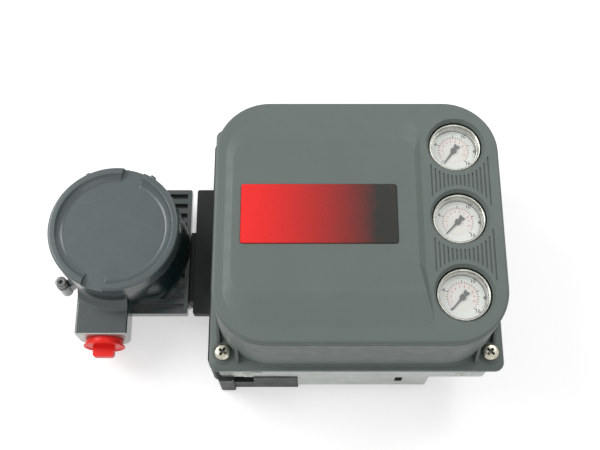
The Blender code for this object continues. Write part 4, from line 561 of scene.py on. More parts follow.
class Nodes:
    """A short way to lay out a material's nodes."""

    def __init__(self, name: str) -> None:
        """Start a material.

        Args:
            name: Name of the material.
        """
        self.material = bpy.data.materials.new(name)
        self.material.use_nodes = True
        self.tree = self.material.node_tree
        self.shader = self.tree.nodes["Principled BSDF"]
        self.place = self.tree.nodes.new("ShaderNodeTexCoord").outputs["Object"]

    def link(self, source: bpy.types.NodeSocket, target: bpy.types.NodeSocket) -> None:
        """Join two sockets."""
        self.tree.links.new(source, target)

    def noise(self, scale: float, detail: float = 3.0, roughness: float = 0.5,
              stretch: Point = (1, 1, 1)) -> bpy.types.NodeSocket:
        """Cloudy noise in object space.

        Args:
            scale: Clouds per metre.
            detail: Number of finer layers.
            roughness: Weight of the finer layers.
            stretch: Scale along each axis.

        Returns:
            The noise's value.
        """
        lay = self.tree.nodes.new("ShaderNodeMapping")
        lay.inputs["Scale"].default_value = stretch
        self.link(self.place, lay.inputs["Vector"])
        cloud = self.tree.nodes.new("ShaderNodeTexNoise")
        cloud.inputs["Scale"].default_value = scale
        cloud.inputs["Detail"].default_value = detail
        cloud.inputs["Roughness"].default_value = roughness
        self.link(lay.outputs["Vector"], cloud.inputs["Vector"])
        return cloud.outputs["Fac"]

    def cells(self, scale: float) -> bpy.types.NodeSocket:
        """Distance to the nearest point of a scattered field.

        Args:
            scale: Points per metre.

        Returns:
            The distance.
        """
        field_of_points = self.tree.nodes.new("ShaderNodeTexVoronoi")
        field_of_points.inputs["Scale"].default_value = scale
        self.link(self.place, field_of_points.inputs["Vector"])
        return field_of_points.outputs["Distance"]

    def spread(self, value: bpy.types.NodeSocket, low: float, high: float, to_low: float,
               to_high: float) -> bpy.types.NodeSocket:
        """Map a value from one range to another and hold it at the ends.

        Args:
            value: The value.
            low: Value that gives to_low.
            high: Value that gives to_high.
            to_low: Result at low.
            to_high: Result at high.

        Returns:
            The mapped value.
        """
        spread = self.tree.nodes.new("ShaderNodeMapRange")
        limits = {"From Min": low, "From Max": high, "To Min": to_low, "To Max": to_high}
        for name, number in limits.items():
            spread.inputs[name].default_value = number
        self.link(value, spread.inputs["Value"])
        return spread.outputs["Result"]

    def sums(self, first: bpy.types.NodeSocket, second: bpy.types.NodeSocket | float,
             how: str) -> bpy.types.NodeSocket:
        """Two values joined by arithmetic.

        Args:
            first: First value.
            second: Second value or number.
            how: Name of the operation.

        Returns:
            The result.
        """
        step = self.tree.nodes.new("ShaderNodeMath")
        step.operation = how
        self.link(first, step.inputs[0])
        if isinstance(second, float):
            step.inputs[1].default_value = second
        else:
            self.link(second, step.inputs[1])
        return step.outputs["Value"]

    def blend(self, share: bpy.types.NodeSocket, first: Colour | bpy.types.NodeSocket,
              second: Colour | bpy.types.NodeSocket) -> bpy.types.NodeSocket:
        """A colour between two others.

        Args:
            share: How much of the second shows.
            first: First colour.
            second: Second colour.

        Returns:
            The mixed colour.
        """
        mixer = self.tree.nodes.new("ShaderNodeMix")
        mixer.data_type = "RGBA"
        self.link(share, mixer.inputs["Factor"])
        for socket, colour in ((mixer.inputs[6], first), (mixer.inputs[7], second)):
            if isinstance(colour, tuple):
                socket.default_value = (*colour, 1.0)
            else:
                self.link(colour, socket)
        return mixer.outputs[2]

    def along(self, axis: int) -> bpy.types.NodeSocket:
        """The place along X, Y or Z in metres.

        Args:
            axis: 0 for X, 1 for Y and 2 for Z.

        Returns:
            The place.
        """
        split = self.tree.nodes.new("ShaderNodeSeparateXYZ")
        self.link(self.place, split.inputs["Vector"])
        return split.outputs[axis]

    def edges(self, radius: float) -> tuple[bpy.types.NodeSocket, bpy.types.NodeSocket]:
        """Softly rounded edges and how near an edge is.

        Args:
            radius: Radius of the rounding in metres.

        Returns:
            The rounded normal, and a value that is 0 on the flat and grows to 1 at the edges.
        """
        bevel = self.tree.nodes.new("ShaderNodeBevel")
        bevel.samples = 6
        bevel.inputs["Radius"].default_value = radius
        geometry = self.tree.nodes.new("ShaderNodeNewGeometry")
        facing = self.tree.nodes.new("ShaderNodeVectorMath")
        facing.operation = "DOT_PRODUCT"
        self.link(bevel.outputs["Normal"], facing.inputs[0])
        self.link(geometry.outputs["Normal"], facing.inputs[1])
        near = self.spread(facing.outputs["Value"], 0.995, 0.80, 0.0, 1.0)
        return bevel.outputs["Normal"], near

    def bump(self, height: bpy.types.NodeSocket, strength: float, depth: float,
             normal: Optional[bpy.types.NodeSocket] = None) -> bpy.types.NodeSocket:
        """Relief from a height value.

        Args:
            height: Height value from 0 to 1.
            strength: Strength of the relief.
            depth: Depth of the relief in metres.
            normal: Normal that the relief is laid over.

        Returns:
            The bumped normal.
        """
        relief = self.tree.nodes.new("ShaderNodeBump")
        relief.inputs["Strength"].default_value = strength
        relief.inputs["Distance"].default_value = depth
        self.link(height, relief.inputs["Height"])
        if normal is not None:
            self.link(normal, relief.inputs["Normal"])
        return relief.outputs["Normal"]


@dataclass(frozen=True)
class Finish:
    """A painted, moulded or plated surface.

    Attributes:
        name: Name of the material.
        colour: Main colour.
        shade: Colour of its darker clouds.
        worn: Colour along its edges, partly wear and partly a painted highlight where the edges catch
            light.
        roughness: Lowest roughness.
        roughness_spread: How much rougher its clouds are.
        metallic: 1 for bare metal.
        coat: Weight of a clear coat.
        coat_roughness: Roughness of that coat.
        grain: Grains per metre of the relief.
        relief: Depth of the relief in metres.
        strength: Strength of the relief.
        clouds: Clouds per metre of the colour.
        edge: Radius of the softened edges in metres.
        wear: How much of that edge colour, wear and painted highlight, shows.
        specular: Specular level.
    """

    name: str
    colour: Colour
    shade: Colour
    worn: Colour
    roughness: float = 0.45
    roughness_spread: float = 0.12
    metallic: float = 0.0
    coat: float = 0.0
    coat_roughness: float = 0.03
    grain: float = 2600.0
    relief: float = 0.00006
    strength: float = 0.35
    clouds: float = 35.0
    edge: float = 0.0004
    wear: float = 0.4
    specular: float = 0.5

    def build(self) -> bpy.types.Material:
        """Lay out the material.

        Returns:
            The material.
        """
        nodes = Nodes(self.name)
        shader = nodes.shader
        rounded_normal, near = nodes.edges(self.edge)
        cloud = nodes.noise(self.clouds, 5.0, 0.6)
        tone = nodes.spread(cloud, 0.35, 0.68, 0.0, 1.0)
        body = nodes.blend(tone, self.colour, self.shade)
        scuff = nodes.spread(nodes.noise(self.clouds * 9, 3.0), 0.35, 0.7, 0.5, 1.0)
        # The lighter edge colour is partly wear and partly a painted highlight where rounded edges catch
        # light.
        worn = nodes.sums(nodes.sums(near, scuff, "MULTIPLY"), self.wear, "MULTIPLY")
        nodes.link(nodes.blend(worn, body, self.worn), shader.inputs["Base Color"])
        rough = nodes.spread(nodes.noise(self.clouds * 4, 4.0), 0.3, 0.7, self.roughness,
                             self.roughness + self.roughness_spread)
        nodes.link(rough, shader.inputs["Roughness"])
        grain = nodes.noise(self.grain, 2.0, 0.5)
        nodes.link(nodes.bump(grain, self.strength, self.relief, rounded_normal), shader.inputs["Normal"])
        shader.inputs["Metallic"].default_value = self.metallic
        shader.inputs["Coat Weight"].default_value = self.coat
        shader.inputs["Coat Roughness"].default_value = self.coat_roughness
        shader.inputs["Specular IOR Level"].default_value = self.specular
        return nodes.material


@dataclass(frozen=True)
class BrushedFinish:
    """Plated or turned metal with fine marks.

    Attributes:
        name: Name of the material.
        colour: Main colour.
        shade: Colour of its duller clouds.
        roughness: Lowest roughness.
        roughness_spread: How much rougher its marks are.
        marks: Marks per metre.
        stretch: How the marks are drawn out along each axis.
        relief: Depth of the marks in metres.
        edge: Radius of the softened edges in metres.
    """

    name: str
    colour: Colour
    shade: Colour
    roughness: float = 0.2
    roughness_spread: float = 0.08
    marks: float = 900.0
    stretch: Point = (1.0, 1.0, 6.0)
    relief: float = 0.00002
    edge: float = 0.00012

    def build(self) -> bpy.types.Material:
        """Lay out the material.

        Returns:
            The material.
        """
        nodes = Nodes(self.name)
        shader = nodes.shader
        rounded_normal, _ = nodes.edges(self.edge)
        cloud = nodes.spread(nodes.noise(260.0, 4.0, 0.6), 0.35, 0.7, 0.0, 1.0)
        nodes.link(nodes.blend(cloud, self.colour, self.shade), shader.inputs["Base Color"])
        marks = nodes.noise(self.marks, 3.0, 0.6, self.stretch)
        rough = nodes.spread(marks, 0.3, 0.7, self.roughness, self.roughness + self.roughness_spread)
        nodes.link(rough, shader.inputs["Roughness"])
        nodes.link(nodes.bump(marks, 0.05, self.relief, rounded_normal), shader.inputs["Normal"])
        shader.inputs["Metallic"].default_value = 1.0
        return nodes.material


@dataclass(frozen=True)
class LabelFinish:
    """A glossy plate that fades from red to black, with a fine dot screen at the change.

    Attributes:
        name: Name of the material.
        bright: Colour at its left end.
        deep: Colour where the fade begins.
        dark: Colour at its right end.
        left_end: Place along X of its left end.
        fade_start: Place along X where the fade begins.
        fade_end: Place along X where it is dark.
        screen: Dots per metre.
        dot_weight: How much the dots shift the fade.
        cloud_weight: How much soft clouds shift the fade.
        specular: Specular level.
    """

    name: str = "label print"
    bright: Colour = (0.92, 0.016, 0.015)
    deep: Colour = (0.84, 0.014, 0.013)
    dark: Colour = (0.010, 0.012, 0.008)
    left_end: float = -0.0640
    fade_start: float = -0.0530
    fade_end: float = 0.0108
    screen: float = 1500.0
    dot_weight: float = 0.03
    cloud_weight: float = 0.015
    specular: float = 0.42

    def build(self) -> bpy.types.Material:
        """Lay out the material.

        Returns:
            The material.
        """
        nodes = Nodes(self.name)
        shader = nodes.shader
        across = nodes.along(0)
        warm = nodes.spread(across, self.left_end, self.fade_start, 0.0, 1.0)
        red = nodes.blend(warm, self.bright, self.deep)
        fade = nodes.spread(across, self.fade_start, self.fade_end, 0.0, 1.0)
        dots = nodes.spread(nodes.cells(self.screen), 0.0, 0.75, -self.dot_weight, self.dot_weight)
        cloudy = nodes.spread(nodes.noise(160.0, 3.0), 0.3, 0.7, -self.cloud_weight, self.cloud_weight)
        screened = nodes.sums(nodes.sums(fade, dots, "ADD"), cloudy, "ADD")
        share = nodes.spread(screened, 0.0, 1.0, 0.0, 1.0)
        nodes.link(nodes.blend(share, red, self.dark), shader.inputs["Base Color"])
        scratches = nodes.noise(700.0, 3.0, 0.6, (1.0, 5.0, 1.0))
        nodes.link(nodes.spread(scratches, 0.3, 0.75, 0.24, 0.40), shader.inputs["Roughness"])
        nodes.link(nodes.bump(nodes.noise(90.0, 2.0), 0.10, 0.0002), shader.inputs["Normal"])
        shader.inputs["Specular IOR Level"].default_value = self.specular
        return nodes.material


@dataclass(frozen=True)
class LensFinish:
    """A thin clear lens.

    Attributes:
        name: Name of the material.
        colour: Tint of its reflections.
        cover: How much of what lies behind it is hidden.
        polish: Lowest and highest roughness.
    """

    name: str = "lens"
    colour: Colour = (0.92, 0.95, 0.95)
    cover: float = 0.10
    polish: tuple[float, float] = (0.03, 0.10)

    def build(self) -> bpy.types.Material:
        """Lay out the material.

        Returns:
            The material.
        """
        nodes = Nodes(self.name)
        shader = nodes.shader
        shader.inputs["Base Color"].default_value = (*self.colour, 1.0)
        haze = nodes.spread(nodes.noise(140.0, 3.0), 0.35, 0.75, *self.polish)
        nodes.link(haze, shader.inputs["Roughness"])
        shader.inputs["Alpha"].default_value = self.cover
        return nodes.material


class Tone(Enum):
    """The finishes of the positioner, by what they cover."""

    COVER = Finish("cover grey", (0.123, 0.151, 0.138), (0.116, 0.142, 0.130), (0.190, 0.212, 0.202),
                   roughness=0.42, grain=2400.0, relief=0.00004, strength=0.25, wear=0.35, specular=0.42)
    CAP = Finish("cap grey", (0.077, 0.099, 0.103), (0.071, 0.092, 0.095), (0.150, 0.170, 0.172),
                 roughness=0.24, roughness_spread=0.06, grain=1500.0, relief=0.00002, strength=0.12,
                 coat=0.25, coat_roughness=0.12, wear=0.35)
    BOX = Finish("box grey", (0.007, 0.021, 0.022), (0.006, 0.018, 0.019), (0.070, 0.086, 0.086),
                 roughness=0.26, roughness_spread=0.06, grain=1500.0, relief=0.00002, strength=0.12,
                 coat=1.00, coat_roughness=0.22)
    # Also used as painted shade inside the module base's opening and slots.
    DARK = Finish("dark casting and hollow shade", (0.024, 0.030, 0.028), (0.019, 0.024, 0.022), (0.090, 0.100, 0.096),
                  roughness=0.42, grain=1300.0, relief=0.00006, strength=0.30, specular=0.26)
    CAST = Finish("bare casting", (0.500, 0.530, 0.500), (0.400, 0.425, 0.400), (0.620, 0.640, 0.620),
                  roughness=0.32, metallic=0.75, grain=1700.0, relief=0.00006, strength=0.25)
    NICKEL = BrushedFinish("nickel", (0.540, 0.545, 0.495), (0.390, 0.395, 0.355), roughness=0.20)
    SCREW = BrushedFinish("screw nickel", (0.580, 0.560, 0.465), (0.340, 0.325, 0.260), roughness=0.20)
    # A darker copy of the screw nickel, used as painted shade in the cross recesses.
    RECESS = BrushedFinish("painted recess shade", (0.180, 0.172, 0.145), (0.100, 0.096, 0.080), roughness=0.36)
    STEEL = BrushedFinish("dark steel", (0.170, 0.178, 0.172), (0.100, 0.106, 0.102), roughness=0.30)
    BRASS = BrushedFinish("brass", (0.74, 0.56, 0.27), (0.60, 0.44, 0.20), roughness=0.26)
    RUBBER = Finish("rubber", (0.022, 0.022, 0.022), (0.016, 0.016, 0.016), (0.050, 0.050, 0.050),
                    roughness=0.66, specular=0.3)
    PLUG = Finish("plug red", (0.980, 0.018, 0.013), (0.940, 0.014, 0.010), (0.990, 0.120, 0.090),
                  roughness=0.30, grain=1200.0, relief=0.00003, strength=0.14, wear=0.30, specular=0.40)
    BLACK = Finish("moulded black", (0.028, 0.028, 0.030), (0.020, 0.020, 0.021), (0.090, 0.090, 0.092),
                   roughness=0.46)
    POINTER = Finish("pointer black", (0.022, 0.026, 0.025), (0.018, 0.020, 0.020), (0.060, 0.060, 0.060),
                     roughness=0.50, edge=0.0001)
    DIAL = Finish("dial white", (0.880, 0.905, 0.860), (0.860, 0.885, 0.840), (0.900, 0.910, 0.880),
                  roughness=0.40, relief=0.00001, strength=0.10, edge=0.0001)
    TINT = Finish("dial tint", (0.850, 0.830, 0.780), (0.830, 0.805, 0.750), (0.850, 0.830, 0.780),
                  roughness=0.45, relief=0.00001, strength=0.05, edge=0.00005)
    INK = Finish("dial ink", (0.050, 0.055, 0.055), (0.045, 0.048, 0.048), (0.060, 0.060, 0.060),
                 roughness=0.5, edge=0.00005, relief=0.00001, strength=0.05)
    RED_INK = Finish("dial red ink", (0.700, 0.230, 0.230), (0.660, 0.200, 0.200), (0.700, 0.250, 0.250),
                     roughness=0.5, edge=0.00005, relief=0.00001, strength=0.05)
    BOARD = Finish("circuit green", (0.022, 0.150, 0.068), (0.015, 0.115, 0.052), (0.200, 0.240, 0.140),
                   roughness=0.35, coat=0.2)
    LABEL = LabelFinish()
    LENS = LensFinish()


@dataclass
class Palette:
    """The materials of the scene, each made once."""

    made: dict[str, bpy.types.Material] = field(default_factory=dict)

    def get(self, tone: Tone) -> bpy.types.Material:
        """The material of a tone.

        Args:
            tone: Which finish.

        Returns:
            Its material.
        """
        if tone.name not in self.made:
            self.made[tone.name] = tone.value.build()
        return self.made[tone.name]

    def dress(self, obj: bpy.types.Object, tone: Tone) -> None:
        """Cover an object with one material.

        Args:
            obj: Object to cover.
            tone: Which finish.
        """
        obj.data.materials.clear()
        obj.data.materials.append(self.get(tone))

    def touch_up(self, obj: bpy.types.Object, tone: Tone, test: Callable[[Vector], bool]) -> None:
        """Give some faces of a dressed object a second finish.

        Args:
            obj: Object that has its main finish.
            tone: The second finish.
            test: Says of a face's middle whether the face gets it.
        """
        obj.data.materials.append(self.get(tone))
        for face in obj.data.polygons:
            if test(face.center):
                face.material_index = 1


@dataclass
class Workshop:
    """What every class needs to hand over a finished piece."""

    palette: Palette

    def hand_over(self, obj: bpy.types.Object, name: str, tone: Tone, body: str, slot: str,
                  replaces: Sequence[str] = ()) -> bpy.types.Object:
        """Name, dress and attach a finished piece.

        Args:
            obj: The finished mesh, at the origin.
            name: Name of the piece.
            tone: Its finish.
            body: Body that it rides on.
            slot: Name of a material slot; not used.
            replaces: Solids that it stands for.

        Returns:
            The piece.
        """
        obj.name = name
        obj.data.name = name
        self.palette.dress(obj, tone)
        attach(obj, body)
        if replaces:
            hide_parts(*replaces)
        LOG.info("piece %s rides on %s", name, body)
        return obj


# The cover


@dataclass
class Cover:
    """The domed cover with its flange, raised field, webs, windows and grooves."""

    shop: Workshop
    flange_width: float = 0.1660
    flange_length: float = 0.1500
    flange_radius: float = 0.0050
    bottom: float = 0.0478
    flange_front: float = 0.0520
    border: float = 0.0040
    border_drop: float = 0.0009
    border_groove: float = 0.0004
    border_round: float = 0.0009
    dome_width: float = 0.1570
    dome_length: float = 0.1395
    dome_shift: float = -0.00155
    dome_radius: float = 0.0300
    dome_top: float = 0.0990
    dome_edge: float = 0.0018
    dome_wall: float = 0.0030
    dome_steps: int = 16
    foot_flare: float = 0.0010
    draft: float = 0.0006
    edge_groove: float = 0.0007
    ceiling_drop: float = 0.0040
    field_top: float = 0.1010
    field_left: float = -0.06835
    field_right: float = 0.03105
    field_bottom: float = -0.0443
    field_upper: float = 0.0436
    field_slope: float = 0.0045
    field_run: float = 0.0200
    field_step: float = 0.0036
    field_kink: float = 0.0160
    field_bend: float = 0.10
    seat_radius: float = 0.0062
    seat_rise: float = 0.0004
    hole_radius: float = 0.0027
    web_half: float = 0.0008
    web_height: float = 0.0200
    web_offset: float = 0.0082
    pocket_inset: float = 0.0019
    pocket_gap: float = 0.0014
    window_radius: float = 0.0149
    window_flare: float = 0.0013
    label_width: float = 0.0844
    label_length: float = 0.0341
    label_radius: float = 0.0013
    label_centre: tuple[float, float] = (-0.02145, -0.0002)
    label_recess: float = 0.0005
    label_thickness: float = 0.0009
    label_gap: float = 0.0002
    groove_count: int = 15
    groove_pitch: float = 0.00225
    groove_width: float = 0.0008
    groove_depth: float = 0.0006
    groove_shift: float = 0.0015
    groove_clear: float = 0.0041

    def build(self) -> None:
        """Model the cover and its label plate, and hand them over."""
        cover = self.flange()
        join(cover, self.dome(), self.field())
        for side, end in CORNERS:
            join(cover, *self.corner(side, end))
        cut(cover, self.hollow())
        for row in GAUGE_ROWS.values():
            cut(cover, self.window(row))
        cut(cover, self.grooves(), self.label_seat())
        for side, end in CORNERS:
            cut(cover, self.screw_hole(side, end), self.pocket(side, end))
        smooth(cover, 30)
        self.shop.hand_over(cover, "cover_shell", Tone.COVER, "cover", "cover_grey", ["cover"])
        self.label()

    def outline(self, growth: float) -> Outline:
        """The dome's outline in plan, grown outwards.

        Args:
            growth: How far it grows.

        Returns:
            The outline's points.
        """
        return rounded_box(self.dome_width + 2 * growth, self.dome_length + 2 * growth,
                           self.dome_radius + growth, (0, self.dome_shift), self.dome_steps)

    def flange(self) -> bpy.types.Object:
        """The flange plate with its sloping border.

        Returns:
            The flange.
        """
        def ring(inset: float) -> Outline:
            """The flange's outline, drawn in by an inset."""
            return rounded_box(self.flange_width - 2 * inset, self.flange_length - 2 * inset,
                               self.flange_radius - inset * 0.6)
        front, groove = self.flange_front, self.border_groove
        edge = front - self.border_drop
        return loft([(ring(0.0003), self.bottom), (ring(0), self.bottom + 0.0004),
                     (ring(0), edge - self.border_round), (ring(0.0003), edge - 0.0003),
                     (ring(self.border_round), edge),
                     (ring(self.border - groove), front - 0.0002 - groove * 0.5),
                     (ring(self.border), front - groove), (ring(self.border + groove), front)])

    def dome(self) -> bpy.types.Object:
        """The outside of the dome, flared at its foot, with a thin groove under its edge.

        Returns:
            The dome.
        """
        foot, top, groove = self.flange_front, self.dome_top, self.edge_groove
        flared = self.draft + self.foot_flare
        steps = [(flared, foot - 0.0015), (flared, foot), (self.draft + 0.0003, foot + 0.0004),
                 (self.draft, foot + 0.0012), (0, top - 0.0046), (-groove, top - 0.0041),
                 (-groove, top - 0.0030), (-0.0003, top - 0.0026), (0, top - 0.0024)]
        for step in range(9):
            angle = math.pi / 2 * step / 8
            drop = self.dome_edge * (1 - math.sin(angle))
            steps.append((-self.dome_edge * (1 - math.cos(angle)), top - drop))
        return loft([(self.outline(growth), height) for growth, height in steps])

    def hollow(self) -> bpy.types.Object:
        """The inside of the dome, open towards the module base.

        Returns:
            The hollow's shape.
        """
        inner = self.draft - self.dome_wall
        return loft([(self.outline(inner), self.bottom - 3 * CUT_OVER),
                     (self.outline(inner), self.flange_front),
                     (self.outline(-self.dome_wall), self.dome_top - self.ceiling_drop),
                     (self.outline(-self.dome_wall * 1.5), self.dome_top - self.dome_wall)])

    def field_outlines(self) -> tuple[Outline, Outline]:
        """The raised field's outlines.

        Returns:
            The outline at the foot and the one at the top of its slopes.
        """
        left, right, bottom, top = self.field_left, self.field_right, self.field_bottom, self.field_upper
        slope, run, step, kink = self.field_slope, self.field_run, self.field_step, self.field_kink
        upper_run = run * 0.75
        crown = [(left, bottom, 0.012), (right + step, bottom, 0.0015), (right, bottom + kink, 0.002),
                 (right, top, 0.008), (left, top, 0.012)]
        foot = [(left - slope, bottom - run, 0.022), (right + step + slope, bottom - run, 0.006),
                (right + slope, bottom + kink - step, 0.003), (right + slope, top + upper_run, 0.012),
                (left - slope, top + upper_run, 0.022)]
        return rounded(foot, 9), rounded(crown, 9)

    def field(self) -> bpy.types.Object:
        """The raised field, whose slopes bend softly at their foot and top.

        Returns:
            The field.
        """
        low, high = self.field_outlines()

        def between(share: float) -> Outline:
            """The outline part of the way up the slope."""
            return [(a[0] + (b[0] - a[0]) * share, a[1] + (b[1] - a[1]) * share) for a, b in zip(low, high)]
        start = self.dome_top - 0.00005
        rise = self.field_top - start
        bend = self.field_bend
        rings = [(low, self.dome_top - 0.0015)]
        for share in (0.0, 0.05, bend, 1 - bend, 0.95, 0.98, 1.0):
            near = min(share, 1 - share, bend)
            climb = near * near / (2 * bend) if near < bend else share - bend / 2
            height = climb if share <= 0.5 or near == bend else 1 - bend - climb
            rings.append((between(share), start + rise * height / (1 - bend)))
        return loft(rings)

    @property
    def arc_centre(self) -> tuple[float, float]:
        """How far the centres of the dome's corner arcs lie from its middle."""
        return (self.dome_width / 2 - self.dome_radius, self.dome_length / 2 - self.dome_radius)

    def corner(self, side: int, end: int) -> list[bpy.types.Object]:
        """The screw seat and the two webs at one corner.

        Args:
            side: -1 for the left and 1 for the right.
            end: -1 for the bottom and 1 for the top.

        Returns:
            The seat and the webs.
        """
        seat = add_rod((side * SCREW_X, end * SCREW_Y, 0), UP, self.bottom + 0.002,
                       self.flange_front + self.seat_rise, self.seat_radius)
        arc_x, arc_y = self.arc_centre
        inner_x = SCREW_X - self.web_offset
        reach = math.sqrt(self.dome_radius ** 2 - (inner_x - arc_x) ** 2)
        inner = self.web(side * inner_x, self.dome_shift + end * (arc_y + reach - 0.0015),
                         end * (self.flange_length / 2 - self.border))
        outer = self.web(side * (self.dome_width / 2 - self.web_half),
                         self.dome_shift + end * (arc_y + 0.002), end * (SCREW_Y - 0.0053))
        return [seat, inner, outer]

    def screw_hole(self, side: int, end: int) -> bpy.types.Object:
        """The hole that one screw's shank passes through."""
        return add_rod((side * SCREW_X, end * SCREW_Y, 0), UP, self.bottom - CUT_OVER,
                       self.flange_front + 2 * CUT_OVER, self.hole_radius, 32)

    def pocket(self, side: int, end: int) -> bpy.types.Object:
        """The three-cornered pocket between the outer web and the dome's foot.

        Args:
            side: -1 for the left and 1 for the right.
            end: -1 for the bottom and 1 for the top.

        Returns:
            The pocket's shape.
        """
        arc_x, arc_y = self.arc_centre
        reach = self.dome_radius + self.draft + self.pocket_gap
        edge = self.dome_width / 2 - self.pocket_inset
        first = math.acos((edge - 0.0004 - arc_x) / reach)
        last = math.asin((SCREW_Y - 0.0078 - arc_y) / reach)
        outline = []
        for step in range(9):
            turn = first + (last - first) * step / 8
            y = arc_y + reach * math.sin(turn)
            outline.append((side * (arc_x + reach * math.cos(turn)), end * y + self.dome_shift))
        outline += [(side * edge, outline[-1][1]), (side * edge, outline[0][1] - end * 0.0006)]
        if side * end < 0:
            outline.reverse()
        return loft([(outline, self.bottom + 0.0012), (outline, self.flange_front + 0.0030)])

    def web(self, x: float, wall_y: float, end_y: float) -> bpy.types.Object:
        """A thin web that slopes from the dome down to the flange.

        Args:
            x: Middle of its thickness.
            wall_y: Where it starts, inside the dome's wall.
            end_y: Where it ends on the flange.

        Returns:
            The web.
        """
        half, height, sunk = self.web_half, self.web_height, 0.002
        foot = self.flange_front - sunk
        web = add_block((x - half, min(wall_y, end_y), foot),
                        (x + half, max(wall_y, end_y), foot + height + sunk))
        enter(web)
        select_edges(web, lambda edge: all(abs(vert.co.y - end_y) < 1e-6 and vert.co.z > foot + height / 2
                                           for vert in edge.verts))
        bpy.ops.transform.translate(value=(0, 0, sunk / 2 - height))
        leave()
        return web

    def window(self, row: float) -> bpy.types.Object:
        """The opening for one gauge, with a stepped chamfer.

        Args:
            row: Place of the gauge along Y.

        Returns:
            The opening's shape.
        """
        radius, flare = self.window_radius, self.window_radius + self.window_flare
        low, top = self.flange_front, self.dome_top
        return lathe([(0, low), (radius, low), (radius, top - 0.0017), (radius + 0.0003, top - 0.0013),
                      (flare, top - 0.0002), (flare + 0.0006, top + 2 * CUT_OVER), (0, top + 2 * CUT_OVER)],
                     (GAUGE_X, row, 0), steps=72)

    def grooves(self) -> bpy.types.Object:
        """The upright grooves between the gauges, which stop short of each one.

        Returns:
            The grooves' blades.
        """
        clear, half_width = BEZEL_RADIUS + self.groove_clear, self.groove_width / 2
        first = GAUGE_X - self.groove_pitch * (self.groove_count - 1) / 2 + self.groove_shift
        rows = list(GAUGE_ROWS.values())
        blades = []
        for column in range(self.groove_count):
            x = first + column * self.groove_pitch
            half = math.sqrt(max(clear ** 2 - (x - GAUGE_X) ** 2, 0))
            for upper, lower in zip(rows, rows[1:]):
                blades.append(add_block((x - half_width, lower + half, self.dome_top - self.groove_depth),
                                        (x + half_width, upper - half, self.dome_top + CUT_OVER / 2)))
        return merge(blades)

    def label_outline(self, growth: float) -> Outline:
        """The label plate's outline, grown by a clearance."""
        return rounded_box(self.label_width + 2 * growth, self.label_length + 2 * growth,
                           self.label_radius + growth, self.label_centre, 6)

    def label_seat(self) -> bpy.types.Object:
        """The shallow seat of the label plate."""
        outline = self.label_outline(self.label_gap)
        return loft([(outline, self.field_top - self.label_recess), (outline, self.field_top + CUT_OVER)])

    def label(self) -> None:
        """Model the label plate with a rounded edge."""
        low = self.field_top - self.label_recess + SEAT_GAP
        high = low + self.label_thickness
        edge = 0.0002
        plate = loft([(self.label_outline(0), low), (self.label_outline(0), high - edge),
                      (self.label_outline(-edge), high)])
        smooth(plate)
        self.shop.hand_over(plate, "label", Tone.LABEL, "cover", "label_red", ["label_plate"])


# Screws


@dataclass
class CrossScrews:
    """The four captive pan-head screws of the cover, with cross recesses."""

    shop: Workshop
    seat: float = 0.0527
    head_radius: float = 0.0047
    head_height: float = 0.0028
    shank_radius: float = 0.0024
    length: float = 0.0125
    blade_reach: float = 0.76
    blade_half: float = 0.00082

    def build(self) -> None:
        """Model one screw and copy it to each corner."""
        pattern = self.screw()
        for row, end in (("top", 1), ("bottom", -1)):
            for column, side in (("left", -1), ("right", 1)):
                self.copy_to(pattern, f"{row}_{column}", side, end)
        bpy.data.objects.remove(pattern)

    def copy_to(self, pattern: bpy.types.Object, corner: str, side: int, end: int) -> None:
        """Copy the screw to one corner and hand it over, with painted shade in its cross recess.

        Args:
            pattern: The screw, its head standing on the origin.
            corner: Name of the corner.
            side: -1 for the left and 1 for the right.
            end: -1 for the bottom and 1 for the top.
        """
        x, y = side * SCREW_X, end * SCREW_Y
        twin = turn_about(copy_of(pattern), ORIGIN, math.radians(25 + 40 * side + 18 * end))
        twin.location = (x, y, self.seat)
        smooth(bake_place(twin), 35)
        self.shop.hand_over(twin, f"cross_screw_{corner}", Tone.SCREW, f"screw_{corner}", "nickel",
                            [f"cover_screw_{corner}"])

        def is_sunk(spot: Vector) -> bool:
            """Whether a spot of the screw lies in its recess."""
            near = math.hypot(spot.x - x, spot.y - y) < self.head_radius * 0.72
            return near and self.seat + 0.0002 < spot.z < self.seat + self.head_height * 0.90
        # The darker nickel in the cross recess is painted shade.
        self.shop.palette.touch_up(twin, Tone.RECESS, is_sunk)

    def screw(self) -> bpy.types.Object:
        """One screw, its head standing on the origin.

        Returns:
            The screw.
        """
        head, height = self.head_radius, self.head_height
        shank, tip = self.shank_radius, -self.length
        profile = [(0, tip), (shank * 0.8, tip), (shank, tip + 0.0008), (shank, 0), (head - 0.0003, 0),
                   (head, 0.0003), (head, height * 0.40), (head * 0.97, height * 0.62),
                   (head * 0.88, height * 0.82), (head * 0.72, height * 0.94),
                   (head * 0.45, height * 0.99), (0, height)]
        screw = lathe(profile, steps=56)
        reach, half = head * self.blade_reach, self.blade_half
        for turn in (0.0, math.pi / 2):
            blade = add_block((-reach, -half, height * 0.25), (reach, half, height * 1.5))
            enter(blade)
            select_faces(blade, lambda face: face.normal.z < -0.9)
            bpy.ops.transform.resize(value=(0.30, 0.7, 1))
            leave()
            cut(screw, turn_about(blade, ORIGIN, turn))
        return screw


# Gauges


